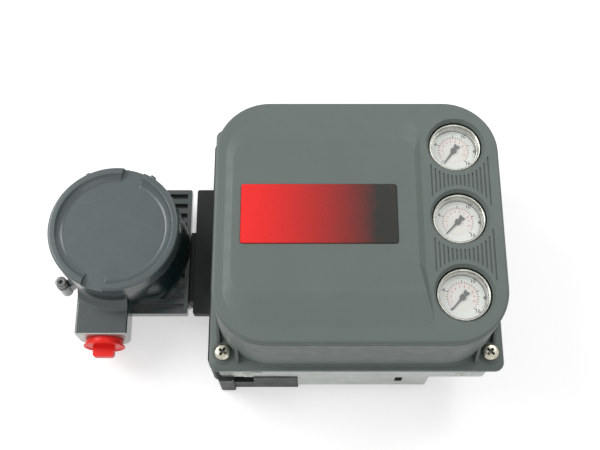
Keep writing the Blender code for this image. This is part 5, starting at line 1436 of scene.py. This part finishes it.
@dataclass
class Gauge:
    """One pressure gauge: bezel and case, dial with its scales, pointer and lens."""

    shop: Workshop
    row: str
    front: float = 0.0963
    dial_seat: float = 0.0901
    foot: float = 0.0433
    neck: float = 0.0490
    case_radius: float = 0.0136
    bore_radius: float = 0.0124
    stem_radius: float = 0.0042
    dial_thickness: float = 0.0005
    dial_hole: float = 0.0011
    tint_radius: float = 0.0080
    print_height: float = 0.00003
    figure_lift: float = 0.00002
    figure_size: float = 0.0029
    figure_radius: float = 0.0108
    small_figure_size: float = 0.0018
    small_figure_radius: float = 0.0061
    outer_scale: float = 0.0082
    inner_scale: float = 0.0081
    pointer_length: float = 0.0095
    pointer_tail: float = 0.0043
    zero: float = 225.0
    sweep: float = 270.0

    def build(self) -> None:
        """Model the gauge's pieces and hand them over."""
        self.case()
        self.dial()
        self.pointer()
        self.lens()

    @property
    def place(self) -> Point:
        """The foot of the gauge's axis."""
        return (GAUGE_X, GAUGE_ROWS[self.row], 0.0)

    @property
    def dial_front(self) -> float:
        """The height of the dial's face."""
        return self.dial_seat + SEAT_GAP + self.dial_thickness

    def case(self) -> None:
        """The plated bezel and case with the stem behind."""
        front, step, outer, bore = self.front, self.front - 0.0024, BEZEL_RADIUS, self.bore_radius
        body, stem, collar = self.case_radius, self.stem_radius, self.stem_radius * 1.5
        profile = [(0, self.foot), (stem, self.foot), (stem, self.neck), (collar, self.neck),
                   (collar, front - 0.0220), (body - 0.0008, front - 0.0220), (body, front - 0.0212),
                   (body, front - 0.0052), (outer - 0.0002, front - 0.0052), (outer, front - 0.0049)]
        profile += fillet((outer - 0.0009, front - 0.0009), 0.0009, 0, 90, 5)
        profile += [(bore + 0.0012, front - 0.00005), (bore + 0.0009, front - 0.0003),
                    (bore + 0.0008, step), (bore, step), (bore, self.dial_seat), (0, self.dial_seat)]
        case = smooth(lathe(profile, self.place, steps=80), 40)
        self.shop.hand_over(case, f"bezel_{self.row}", Tone.NICKEL, "housing", "nickel",
                            [f"gauge_case_{self.row}"])

    def disc(self, inner: float, outer: float, low: float, high: float, steps: int) -> bpy.types.Object:
        """A flat disc with a hole, round the gauge's axis.

        Args:
            inner: Radius of the hole.
            outer: Radius of the disc.
            low: Height of its back.
            high: Height of its front.
            steps: Number of steps round it.

        Returns:
            The disc.
        """
        return lathe([(inner, low), (outer, low), (outer, high), (inner, high)], self.place, steps=steps)

    def dial(self) -> None:
        """The white dial and the print on it."""
        low, high, film = self.dial_seat + SEAT_GAP, self.dial_front, 0.00001
        face = smooth(self.disc(self.dial_hole, self.bore_radius - SEAT_GAP, low, high, 72))
        tint = self.disc(self.dial_hole + 0.0002, self.tint_radius, high - film, high + film, 72)
        self.shop.hand_over(face, f"dial_{self.row}", Tone.DIAL, "housing", "dial_white",
                            [f"gauge_dial_{self.row}"])
        self.shop.hand_over(tint, f"dial_tint_{self.row}", Tone.TINT, "housing", "dial_white")
        self.shop.hand_over(self.black_print(), f"dial_scale_{self.row}", Tone.INK, "housing",
                            "pointer_black")
        self.shop.hand_over(self.red_print(), f"dial_inner_scale_{self.row}", Tone.RED_INK, "housing",
                            "label_red")

    def angle(self, share: float) -> float:
        """The angle of a share of the scale, in radians."""
        return math.radians(self.zero - self.sweep * share)

    def at(self, radius: float, share: float, z: float) -> Point:
        """A point over the dial.

        Args:
            radius: Distance from the gauge's axis.
            share: Share of the scale, from 0 to 1.
            z: Height of the point.

        Returns:
            The point.
        """
        x, y, _ = self.place
        turn = self.angle(share)
        return (x + radius * math.cos(turn), y + radius * math.sin(turn), z)

    def ticks(self, count: int, inner: float, outer: float, width: float) -> list[bpy.types.Object]:
        """A row of tick marks along the scale.

        Args:
            count: Number of spaces between marks.
            inner: Inner radius.
            outer: Outer radius.
            width: Width of a mark.

        Returns:
            The marks.
        """
        x, y, _ = self.place
        low, high, half = self.dial_front, self.dial_front + self.print_height, width / 2
        made = []
        for index in range(count + 1):
            mark = add_block((x + inner, y - half, low), (x + outer, y + half, high))
            made.append(turn_about(mark, self.place, self.angle(index / count)))
        return made

    def ring(self, radius: float, width: float) -> bpy.types.Object:
        """The thin arc that the marks stand on, open below between the scale's ends.

        Args:
            radius: Middle radius of the arc.
            width: Width of the arc.

        Returns:
            The arc.
        """
        x, y, _ = self.place
        z, half, half_gap = self.dial_front, width / 2, 0.0074
        band = self.disc(radius - half, radius + half, z, z + self.print_height, 96)
        return cut(band, add_block((x - half_gap, y - 0.02, z - CUT_OVER),
                                   (x + half_gap, y - 0.0042, z + CUT_OVER)))

    def black_print(self) -> bpy.types.Object:
        """The outer scale: long marks, figures and a dark dot at the dial's edge that paints the shade of
        the notch there.

        Returns:
            The print.
        """
        x, y, _ = self.place
        scale, z = self.outer_scale, self.dial_front
        made = [*self.ticks(28, scale, scale + 0.0008, 0.00030),
                *self.ticks(4, scale, scale + 0.0015, 0.00050)]
        for share, figures in ((0.25, "4"), (0.625, "10"), (1.0, "16")):
            spot = self.at(self.figure_radius, share, z + self.figure_lift)
            made.append(words(figures, self.figure_size, spot))
        # The dark dot at the dial's edge is painted shade where the notch lies.
        made.append(add_rod((x + self.bore_radius - 0.0006, y - 0.0002, z), UP, 0, 0.0004, 0.0008, 20))
        return merge(made)

    def red_print(self) -> bpy.types.Object:
        """The inner scale: its arc, fine marks and small figures.

        Returns:
            The print.
        """
        scale, z = self.inner_scale, self.dial_front + self.figure_lift
        made = [self.ring(scale, 0.00020), *self.ticks(22, scale - 0.0007, scale, 0.00020)]
        for number in range(1, 11):
            spot = self.at(self.small_figure_radius, number / 11, z)
            made.append(words(str(number), self.small_figure_size, spot))
        return merge(made)

    def pointer(self) -> None:
        """The pointer with its flared tail and round hub, where it rests."""
        low = self.dial_front + SEAT_GAP
        length, tail = self.pointer_length, self.pointer_tail
        outline = [(length, -0.00034), (length, 0.00034), (0.0, 0.00062), (-tail * 0.42, 0.00072),
                   (-tail * 0.60, 0.0015), (-tail, 0.0017), (-tail * 0.92, 0.0), (-tail, -0.0017),
                   (-tail * 0.60, -0.0015), (-tail * 0.42, -0.00072), (0.0, -0.00062)]
        hand = loft([(outline, low), (outline, low + 0.0004)])
        turn_about(hand, ORIGIN, math.radians(self.zero + REST_TURNS[self.row]))
        hand.location = self.place
        bake_place(hand)
        foot = self.dial_seat + SEAT_GAP
        hub = [(0, foot), (0.0008, foot), (0.0008, low + 0.0001), (0.0017, low + 0.0001),
               *fillet((0.0013, low + 0.0007), 0.0004, 0, 90, 4),
               (0.0007, low + 0.0011), (0.0006, low + 0.0009), (0, low + 0.0009)]
        join(hand, lathe(hub, self.place, steps=40))
        smooth(hand, 35)
        self.shop.hand_over(hand, f"pointer_hand_{self.row}", Tone.POINTER, f"pointer_{self.row}",
                            "pointer_black", [f"gauge_pointer_{self.row}"])

    def lens(self) -> None:
        """The slightly domed lens behind the bezel's lip."""
        low, rim = self.front - 0.0021, self.bore_radius + 0.0005
        profile = [(0, low), (rim, low), (rim, low + 0.0007), (rim * 0.7, low + 0.0009),
                   (rim * 0.35, low + 0.00098), (0, low + 0.0010)]
        lens = smooth(lathe(profile, self.place, steps=64), 40)
        self.shop.hand_over(lens, f"lens_{self.row}", Tone.LENS, "housing", "lens_clear",
                            [f"gauge_lens_{self.row}"])


# The terminal box


@dataclass
class TerminalBox:
    """The round terminal box: pot, shoulder, ribbed block, conduit boss, cap and plug."""

    shop: Workshop
    x: float = -0.1402
    y: float = 0.0068
    radius: float = 0.0369
    chamber_radius: float = 0.0319
    shoulder_radius: float = 0.0409
    back: float = 0.0030
    top: float = 0.0497
    boss_x: float = -0.1482
    boss_end: float = -0.0503
    boss_width: float = 0.0305
    boss_back: float = 0.0080
    boss_front: float = 0.0370
    conduit_z: float = 0.0225
    conduit_radius: float = 0.0110
    block_left: float = -0.1370
    block_right: float = -0.0995
    block_back: float = 0.0180
    neck_left: float = -0.1180
    neck_low: float = -0.0260
    neck_high: float = 0.0186
    block_low: float = -0.0345
    block_high: float = 0.0463
    block_front: float = 0.0240
    block_round: float = 0.0012
    rib_pitch: float = 0.0065
    slot_width: float = 0.0035
    slot_depth: float = 0.0035
    cap_radius: float = 0.0382
    cap_bottom: float = 0.0503
    cap_face: float = 0.0584
    cap_top: float = 0.0620
    notch_angle: float = math.radians(74.4)
    lug_angles: tuple[float, float] = (math.radians(58), math.radians(117))
    ground_angle: float = math.radians(218.4)
    ground_reach: float = 0.0422
    ground_z: float = 0.0340
    ground_radius: float = 0.0036
    lock_angle: float = math.radians(50)
    lock_z: float = 0.0430
    lock_radius: float = 0.0042
    lock_hole: float = 0.0019
    chamber_back: float = 0.0090
    conduit_depth: float = 0.0332
    boss_wide_round: float = 0.0140
    boss_round: float = 0.0012
    fillet_size: float = 0.0070
    shoulder_spread: float = 70.0
    shoulder_fade: float = 26.0
    shoulder_start: float = 0.0260
    shoulder_rise: float = 0.0205
    notch_half: float = 0.00635
    thread_depth: float = 0.0093
    thread_pitch: float = 0.0016
    ground_hole: float = 0.0021
    plug_ring: float = 0.01225
    plug_stand: float = 0.0034
    plug_reach: float = 0.0105
    tab_half_width: float = 0.0062
    tab_half_height: float = 0.0026

    def build(self) -> None:
        """Model the box, its cap, the lock and ground screws and the plug."""
        self.body()
        self.cap()
        self.ground_screw()
        self.plug()

    @property
    def axis_foot(self) -> Point:
        """The foot of the box's axis."""
        return (self.x, self.y, 0.0)

    def outwards(self, angle: float) -> Point:
        """The direction away from the axis at an angle."""
        return (math.cos(angle), math.sin(angle), 0.0)

    def body(self) -> None:
        """The casting of the box."""
        block = self.plate(self.block_left, self.block_low, self.block_high, self.block_back,
                           self.block_front)
        cut(block, self.slots())
        neck = self.plate(self.neck_left, self.neck_low, self.neck_high, self.back,
                          self.block_back + CUT_OVER)
        join(block, neck, self.shoulder(), self.pot(), self.boss(), self.boss_fillet(), *self.ground_lug(),
             self.lock_rod(self.radius * 0.9, self.cap_radius + 0.0014, self.lock_radius, 40, 0.0036))
        conduit = add_rod((self.boss_x, self.boss_end, self.conduit_z), (0, 1, 0), -CUT_OVER,
                          self.conduit_depth, self.conduit_radius, 64)
        cut(block, conduit, self.chamber(),
            add_rod(self.ground_foot, UP, -0.0080, 0.001, self.ground_hole, 24),
            self.lock_rod(0.0344, self.cap_radius + 0.003, self.lock_hole, 24))
        smooth(block, 32)
        self.shop.hand_over(block, "box_casting", Tone.BOX, "housing", "paint_grey", ["terminal_box"])
        self.shop.palette.touch_up(block, Tone.CAST, lambda spot: spot.y < self.boss_end + 0.0006)

    def pot(self) -> bpy.types.Object:
        """The outside of the pot, with a rounded back edge.

        Returns:
            The pot.
        """
        radius, back, top = self.radius, self.back, self.top
        return lathe([(0, back), (radius - 0.0045, back),
                      *fillet((radius - 0.0036, back + 0.0030), 0.0030, -90, 0, 6),
                      (radius, top - 0.0006), (radius - 0.0006, top), (0, top)], self.axis_foot, steps=120)

    def chamber(self) -> bpy.types.Object:
        """The chamber inside the pot, with a wider mouth.

        Returns:
            The chamber's shape.
        """
        radius, mouth = self.chamber_radius, self.chamber_radius + 0.0027
        back, ledge, above = self.chamber_back, self.top - 0.0024, self.top + 0.001
        return lathe([(0, back), (radius - 0.002, back), (radius, back + 0.002), (radius, ledge),
                      (mouth, ledge), (mouth, above), (0, above)], self.axis_foot, steps=96)

    def lock_rod(self, start: float, end: float, radius: float, segments: int,
                 tip: Optional[float] = None) -> bpy.types.Object:
        """A rod or cone along the way of the cap's lock screw.

        Args:
            start: Distance of its first end from the box's axis.
            end: Distance of its second end from the box's axis.
            radius: Radius at the first end.
            segments: Number of sides.
            tip: Radius at the second end.

        Returns:
            The rod.
        """
        return add_rod((self.x, self.y, self.lock_z), self.outwards(self.lock_angle), start, end, radius,
                       segments, tip)

    def plate(self, left: float, low: float, high: float, back: float, front: float) -> bpy.types.Object:
        """A block of the joint, from a left edge to the joint's face.

        Args:
            left: Its left edge.
            low: Its lower edge.
            high: Its upper edge.
            back: Height of its back.
            front: Height of its front.

        Returns:
            The block.
        """
        middle = ((left + self.block_right) / 2, (low + high) / 2)
        outline = rounded_box(self.block_right - left, high - low, self.block_round, middle, 4)
        return loft([(outline, back), (outline, front)])

    @property
    def ground_foot(self) -> Point:
        """The middle of the ground lug's front face."""
        way = self.outwards(self.ground_angle)
        return (self.x + way[0] * self.ground_reach, self.y + way[1] * self.ground_reach, self.ground_z)

    def ground_lug(self) -> list[bpy.types.Object]:
        """The round lug of the ground screw and its web to the pot.

        Returns:
            The lug and the web.
        """
        x, y, front = self.ground_foot
        lug = add_rod((x, y, front), UP, -0.0120, 0, self.ground_radius, 40)
        web = add_block((self.x + self.radius - 0.0025, self.y - 0.0025, front - 0.0115),
                        (self.x + self.ground_reach, self.y + 0.0025, front - 0.0035))
        return [lug, turn_about(web, self.axis_foot, self.ground_angle)]

    def slots(self) -> bpy.types.Object:
        """The row of slots that leaves ribs across the joint block.

        Returns:
            The slots' blades.
        """
        length = self.block_high - self.block_low
        count = int(length / self.rib_pitch)
        first = (self.block_low + self.block_high) / 2 - self.rib_pitch * (count - 1) / 2
        half, front = self.slot_width / 2, self.block_front
        blades = []
        for index in range(count):
            y = first + index * self.rib_pitch
            blades.append(add_block((self.block_left - 0.001, y - half, front - self.slot_depth),
                                    (self.block_right - 0.0026, y + half, front + 0.002)))
        return merge(blades)

    def shoulder(self) -> bpy.types.Object:
        """The swelling of the pot towards the ribbed block, with a rounded upper edge.

        Returns:
            The shoulder.
        """
        spread, steps, sunk = self.shoulder_spread, 56, 0.0006

        def ring(stand: float) -> Outline:
            """The shoulder's outline, standing off the pot's wall and fading out at both ends.

            Args:
                stand: How far it stands off at its middle.

            Returns:
                The outline's points.
            """
            points = [(self.x, self.y)]
            for step in range(steps + 1):
                angle = -spread + 2 * spread * step / steps
                share = min((spread - abs(angle)) / self.shoulder_fade, 1.0)
                radius = self.radius - sunk + (stand + sunk) * ease(share)
                x = self.x + radius * math.cos(math.radians(angle))
                points.append((min(x, self.block_right), self.y + radius * math.sin(math.radians(angle))))
            return points
        full = self.shoulder_radius - self.radius
        rings = [(ring(full - 0.001), self.boss_back), (ring(full), self.boss_back + 0.001)]
        for step in range(9):
            share = step / 8
            height = self.shoulder_start + self.shoulder_rise * share
            rings.append((ring(full * (1 - ease(share))), height))
        return loft(rings)

    def boss(self) -> bpy.types.Object:
        """The square conduit boss, rounded in front and widely rounded behind.

        Returns:
            The boss.
        """
        middle = (self.boss_back + self.boss_front) / 2
        half = (self.boss_front - self.boss_back) / 2
        side = self.boss_width / 2

        def ring(inset: float) -> Outline:
            """The boss's section, drawn in by an inset.

            Args:
                inset: How far it is drawn in.

            Returns:
                The section's points.
            """
            wide, small, right, top = self.boss_wide_round, self.boss_round, side - inset, half - inset
            return rounded([(-right, -top, wide), (right, -top, wide), (right, top, small),
                            (-right, top, small)], 8)
        length = self.y - self.radius * 0.5 - self.boss_end
        boss = loft([(ring(0), 0.0), (ring(0), length - 0.0006), (ring(0.0005), length)])
        boss.rotation_euler = (math.radians(90), 0, 0)
        boss.location = (self.boss_x, self.y - self.radius * 0.5, middle)
        return bake_place(boss)

    def boss_fillet(self) -> bpy.types.Object:
        """The fillet between the boss's front and the pot's wall.

        Returns:
            The fillet.
        """
        radius, foot, size = self.radius, self.boss_front, self.fillet_size
        inner, outer, half = radius - 0.001, radius + size, self.boss_width / 2 - 0.0004
        profile = [(inner, foot - 0.001), (outer, foot - 0.001), (outer, foot),
                   *fillet((outer, foot + size), size, 270, 180, 12), (inner, foot + size)]
        ring = lathe(profile, self.axis_foot, steps=120)
        reach = add_block((self.boss_x - half, self.y - self.radius * 1.3, foot - 0.002),
                          (self.boss_x + half, self.y - self.radius * 0.4, foot + size * 2))
        return combine(ring, reach, "INTERSECT")

    def cap(self) -> None:
        """The screw cap with its raised rim, sunken face, bar notches and thread ring."""
        radius, face, top, low = self.cap_radius, self.cap_face, self.cap_top, self.cap_bottom
        thread, hollow, foot = self.chamber_radius - SEAT_GAP, face - 0.0040, low - self.thread_depth
        rim = radius - 0.0043
        profile = [(0, hollow), (thread - 0.0052, hollow), (thread - 0.0032, hollow - 0.0020),
                   (thread - 0.0032, foot), (thread, foot)]
        for turn in range(5):
            start = foot + turn * self.thread_pitch
            profile += [(thread, start + 0.0002), (thread - 0.0006, start + 0.0008),
                        (thread, start + 0.0014)]
        profile += [(thread, low), (radius - 0.0004, low), (radius, low + 0.0004)]
        profile += fillet((radius - 0.0015, top - 0.0015), 0.0015, 0, 90, 6)
        profile += fillet((rim + 0.0007, top - 0.0007), 0.0007, 90, 150, 4)
        profile += [(rim - 0.0010, top - 0.0018), (rim - 0.0026, face + 0.0008),
                    (rim - 0.0034, face + 0.0002), (rim - 0.0044, face), (0, face)]
        cap = lathe(profile, self.axis_foot, steps=128)
        for turn in (0.0, math.pi):
            notch = add_block((radius - 0.0105, -self.notch_half, face),
                              (radius + 0.002, self.notch_half, top + 0.002))
            round_edges(notch, at_height(face), 0.0008, 3)
            notch.location = self.axis_foot
            bake_place(notch)
            cut(cap, turn_about(notch, self.axis_foot, self.notch_angle + turn))
        for angle in self.lug_angles:
            lug = add_block((self.x + radius - 0.002, self.y - 0.0013, low + 0.0030),
                            (self.x + radius + 0.0018, self.y + 0.0013, top - 0.0035))
            join(cap, turn_about(lug, self.axis_foot, angle))
        smooth(cap, 32)
        self.shop.hand_over(cap, "screw_cap", Tone.CAP, "cap", "paint_grey", ["terminal_box_cap"])

    def ground_screw(self) -> None:
        """The outer ground screw with its key socket, and its washer."""
        x, y, front = self.ground_foot
        hole, edge, outer, height = self.ground_hole, 0.0034, 0.0036, 0.0010
        ring = lathe([(hole, 0), (edge, 0), (outer, 0.0002), (outer, height - 0.0002), (edge, height),
                      (hole, height)], (x, y, front + SEAT_GAP), UP, 40)
        smooth(ring)
        self.shop.hand_over(ring, "ground_ring", Tone.STEEL, "housing", "nickel", ["ground_washer"])
        head = (x, y, front + 0.0016)
        profile = [(0, -0.0065), (0.0015, -0.0065), (0.0018, -0.0062), (0.0018, 0), (0.0031, 0),
                   (0.0033, 0.0002), *fillet((0.0028, 0.0040), 0.0005, 0, 90, 4),
                   (0.0020, 0.0045), (0.0017, 0.0042), (0, 0.0042)]
        screw = lathe(profile, head, UP, 48)
        cut(screw, add_rod(head, UP, 0.0018, 0.0070, 0.0014, 6))
        smooth(screw, 30)
        self.shop.hand_over(screw, "ground_screw", Tone.STEEL, "housing", "nickel", ["ground_screw_outer"])

    def plug(self) -> None:
        """The moulded conduit plug: body, thin ring, grip tab and hollow inside."""
        origin, way = (self.boss_x, self.boss_end, self.conduit_z), (0, -1, 0)
        body, ring, stand = self.conduit_radius - SEAT_GAP, self.plug_ring, self.plug_stand
        profile = [(0, -0.0010), (body - 0.0020, -0.0010), (body - 0.0020, -0.0120),
                   (body - 0.0006, -0.0120), (body, -0.0110)]
        for turn in range(5):
            start = -0.0105 + turn * 0.0018
            profile += [(body - 0.0005, start + 0.0004), (body - 0.0005, start + 0.0009),
                        (body, start + 0.0013)]
        profile += [(body, 0.0002), (body + 0.0003, 0.0004), (body + 0.0003, stand - 0.0008),
                    (body + 0.0005, stand - 0.0003), (body + 0.0010, stand),
                    (ring - 0.0004, stand + 0.0001),
                    *fillet((ring - 0.0005, stand + 0.0006), 0.0005, -60, 90, 6),
                    (ring - 0.0009, stand + 0.0010), (ring - 0.0016, stand + 0.0004), (0, stand + 0.0004)]
        plug = lathe(profile, origin, way, 72)
        end, half, thick = self.boss_end - self.plug_reach, self.tab_half_width, self.tab_half_height
        tab = add_block((self.boss_x - half, end, self.conduit_z - thick),
                        (self.boss_x + half, self.boss_end - stand + 0.0006, self.conduit_z + thick))

        def is_level_at_end(edge: bmesh.types.BMEdge) -> bool:
            """Whether an edge of the tab is level and lies at its outer end.

            Args:
                edge: An edge of the tab.

            Returns:
                True if it is.
            """
            first, second = edge.verts[0].co, edge.verts[1].co
            level = not is_upright(edge) and abs(first.z - second.z) < 1e-6
            return level and max(first.y, second.y) < end + 0.0017
        round_edges(tab, lambda edge: is_upright(edge) and edge.verts[0].co.y < end + 0.0001, 0.0016, 5)
        round_edges(tab, is_level_at_end, 0.0004, 2)
        join(plug, tab)
        smooth(plug, 32)
        self.shop.hand_over(plug, "red_plug", Tone.PLUG, "conduit_plug", "plug_red", ["conduit_plug"])


# The module base


@dataclass
class ModuleBase:
    """The module base as it is packed, with the slots and bosses of its lower wall."""

    shop: Workshop
    wall: float = -0.0735
    slots: tuple[tuple[float, float, float], ...] = ((-0.0760, -0.0680, 0.0310), (0.0666, 0.0790, 0.0347))
    slot_height: float = 0.0007
    slot_depth: float = 0.0012
    bosses: tuple[tuple[float, float], ...] = ((-0.0616, 0.0338), (0.0612, 0.0362))
    boss_width: float = 0.0056
    boss_height: float = 0.0060
    boss_stand: float = 0.0009
    opening: tuple[float, float, float, float] = (0.0238, 0.0286, 0.0158, 0.0262)

    def build(self, node: bpy.types.Object) -> None:
        """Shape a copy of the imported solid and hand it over.

        Args:
            node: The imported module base.
        """
        base = face_out(copy_of(node))
        for left, right, height in self.slots:
            half = self.slot_height / 2
            cut(base, add_block((left, self.wall - 0.002, height - half),
                                (right, self.wall + self.slot_depth, height + half)))
        for x, z in self.bosses:
            join(base, self.boss(x, z))
            cut(base, add_rod((x, self.wall, z), (0, -1, 0), -0.0015, 0.003, 0.0011, 24))
        smooth(base, 30)
        self.shop.hand_over(base, "base_casting", Tone.CAST, "housing", "bare_casting", ["module_base"])
        self.darken_hollows(base)

    def darken_hollows(self, base: bpy.types.Object) -> None:
        """Paint shade on the insides of the opening and the slots in the lower wall, in a dark tone.

        Args:
            base: The dressed module base.
        """
        half = self.slot_height / 2 + 0.0001
        hollows = [self.opening]
        hollows += [(left, right, height - half, height + half) for left, right, height in self.slots]

        def is_inside(spot: Vector) -> bool:
            """Whether a spot lies inside the opening or a slot.

            Args:
                spot: Middle of a face.

            Returns:
                True if it does.
            """
            if not self.wall + 0.0002 < spot.y < self.wall + 0.0056:
                return False
            return any(left <= spot.x <= right and low <= spot.z <= high
                       for left, right, low, high in hollows)
        # The dark tone inside the opening and the slots is painted shade.
        self.shop.palette.touch_up(base, Tone.DARK, is_inside)

    def boss(self, x: float, z: float) -> bpy.types.Object:
        """A small rounded boss on the lower wall.

        Args:
            x: Place of its middle across.
            z: Height of its middle.

        Returns:
            The boss.
        """
        front = self.wall - self.boss_stand
        half_width, half_height = self.boss_width / 2, self.boss_height / 2
        boss = add_block((x - half_width, front, z - half_height),
                         (x + half_width, self.wall + 0.001, z + half_height))

        def is_in_front(edge: bmesh.types.BMEdge) -> bool:
            """Whether an edge lies on the boss's front."""
            return all(abs(vert.co.y - front) < 1e-6 for vert in edge.verts)
        return round_edges(boss, is_in_front, 0.0005, 3)


# Solids that stay in view


@dataclass
class KeptSolids:
    """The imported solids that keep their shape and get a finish."""

    shop: Workshop
    tones: dict[str, Tone] = field(default_factory=lambda: {
        "housing": Tone.DARK, "vent_screen": Tone.BLACK, "module_base": Tone.CAST,
        "module_base_screw": Tone.NICKEL, "cover_seal": Tone.RUBBER,
        "pressure_converter": Tone.CAST, "converter_shroud": Tone.BLACK,
        "converter_screw": Tone.NICKEL, "relay_adjustment_disc": Tone.BLACK, "relay_screw": Tone.NICKEL,
        "relay": Tone.CAST, "electronics_tray": Tone.BLACK, "circuit_board": Tone.BOARD,
        "electronics_screw": Tone.NICKEL, "terminal_box_screw": Tone.NICKEL, "cap_seal": Tone.RUBBER,
        "cap_lock_screw": Tone.SCREW, "ground_screw_inner": Tone.BRASS, "terminal_board_screw": Tone.BRASS,
        "terminal_screw": Tone.BRASS, "terminal_board": Tone.BLACK})

    def build(self, nodes: dict[str, bpy.types.Object]) -> None:
        """Dress every solid whose name starts as a listed one does.

        Args:
            nodes: The frame's solids by name.
        """
        for name, node in nodes.items():
            starts = [start for start in self.tones if name.startswith(start)]
            if starts:
                self.shop.palette.dress(node, self.tones[max(starts, key=len)])
                LOG.info("finish for %s", name)


# Studio


@dataclass
class Studio:
    """The pale floor, the soft lamps and the camera."""

    camera_place: Point = (-0.03172, -0.18913, 0.57678)
    camera_tilt: float = 0.3659
    lens: float = 57.0
    sensor: float = 36.0
    floor_size: float = 6.0
    floor_colour: Colour = (0.76, 0.76, 0.76)
    floor_glow: float = 0.50
    sky_level: float = 0.40
    aim: Point = (-0.03, 0.0, 0.04)

    def build(self) -> None:
        """Make the floor, world, lamps and camera."""
        self.floor()
        self.world()
        self.lamp("key", (-1.00, 0.35, 1.05), 0.8, 11.2)
        self.lamp("fill", (0.35, -0.95, 1.10), 0.8, 1.6)
        self.lamp("back", (0.62, 0.72, 1.10), 0.6, 5.6)
        self.camera()

    def floor(self) -> None:
        """A plain pale floor that shows white to the camera and keeps the shadow."""
        deselect()
        bpy.ops.mesh.primitive_plane_add(size=self.floor_size, location=(0, 0, -0.0002))
        floor = bpy.context.object
        floor.name = "studio_floor"
        nodes = Nodes("studio floor")
        nodes.shader.inputs["Base Color"].default_value = (*self.floor_colour, 1.0)
        nodes.shader.inputs["Roughness"].default_value = 0.9
        nodes.shader.inputs["Specular IOR Level"].default_value = 0.1
        ray = nodes.tree.nodes.new("ShaderNodeLightPath")
        direct = nodes.sums(ray.outputs["Is Camera Ray"], self.floor_glow, "MULTIPLY")
        through = nodes.sums(ray.outputs["Is Glossy Ray"], ray.outputs["Is Transmission Ray"], "MAXIMUM")
        seen = nodes.sums(direct, nodes.sums(through, self.floor_glow, "MULTIPLY"), "ADD")
        nodes.shader.inputs["Emission Color"].default_value = (1, 1, 1, 1)
        nodes.link(seen, nodes.shader.inputs["Emission Strength"])
        floor.data.materials.append(nodes.material)

    def world(self) -> None:
        """A dim even sky that looks white to the camera, in metal and through glass."""
        world = bpy.data.worlds.new("studio")
        world.use_nodes = True
        bpy.context.scene.world = world
        tree = world.node_tree
        back = tree.nodes["Background"]
        back.inputs["Color"].default_value = (1, 1, 1, 1)
        ray = tree.nodes.new("ShaderNodeLightPath")
        seen = ray.outputs["Is Camera Ray"]
        for name in ("Is Glossy Ray", "Is Transmission Ray"):
            either = tree.nodes.new("ShaderNodeMath")
            either.operation = "MAXIMUM"
            tree.links.new(seen, either.inputs[0])
            tree.links.new(ray.outputs[name], either.inputs[1])
            seen = either.outputs["Value"]
        mix = tree.nodes.new("ShaderNodeMapRange")
        mix.inputs["To Min"].default_value = self.sky_level
        mix.inputs["To Max"].default_value = 1.0
        tree.links.new(seen, mix.inputs["Value"])
        tree.links.new(mix.outputs["Result"], back.inputs["Strength"])

    def lamp(self, name: str, place: Point, size: float, power: float) -> None:
        """A square soft lamp that points at the part.

        Args:
            name: Name of the lamp.
            place: Where it hangs.
            size: Side of the lamp in metres.
            power: Power in watts.
        """
        deselect()
        bpy.ops.object.light_add(type="AREA", location=place)
        lamp = bpy.context.object
        lamp.name = name
        lamp.data.size = size
        lamp.data.energy = power
        lamp.rotation_euler = (Vector(self.aim) - Vector(place)).to_track_quat("-Z", "Y").to_euler()

    def camera(self) -> None:
        """The camera at the photograph's place."""
        data = bpy.data.cameras.new("camera")
        data.lens = self.lens
        data.sensor_width = self.sensor
        data.clip_start = 0.01
        camera = bpy.data.objects.new("camera", data)
        camera.location = self.camera_place
        camera.rotation_euler = (self.camera_tilt, 0, 0)
        bpy.context.scene.collection.objects.link(camera)
        bpy.context.scene.camera = camera


def corners(box: tuple[Vector, Vector]) -> list[list[float]]:
    """A box's two corners as plain lists."""
    return [list(corner) for corner in box]


def main() -> None:
    """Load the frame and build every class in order."""
    logging.basicConfig(level=logging.INFO, format="%(message)s")
    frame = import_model()
    bpy.context.scene.view_settings.view_transform = "Standard"
    shop = Workshop(Palette())
    Studio().build()
    KeptSolids(shop).build(frame["nodes"])
    ModuleBase(shop).build(frame["nodes"]["module_base"])
    Cover(shop).build()
    CrossScrews(shop).build()
    for row in GAUGE_ROWS:
        Gauge(shop, row).build()
    TerminalBox(shop).build()
    LOG.info("all pieces built")


if __name__ == "__main__":
    main()
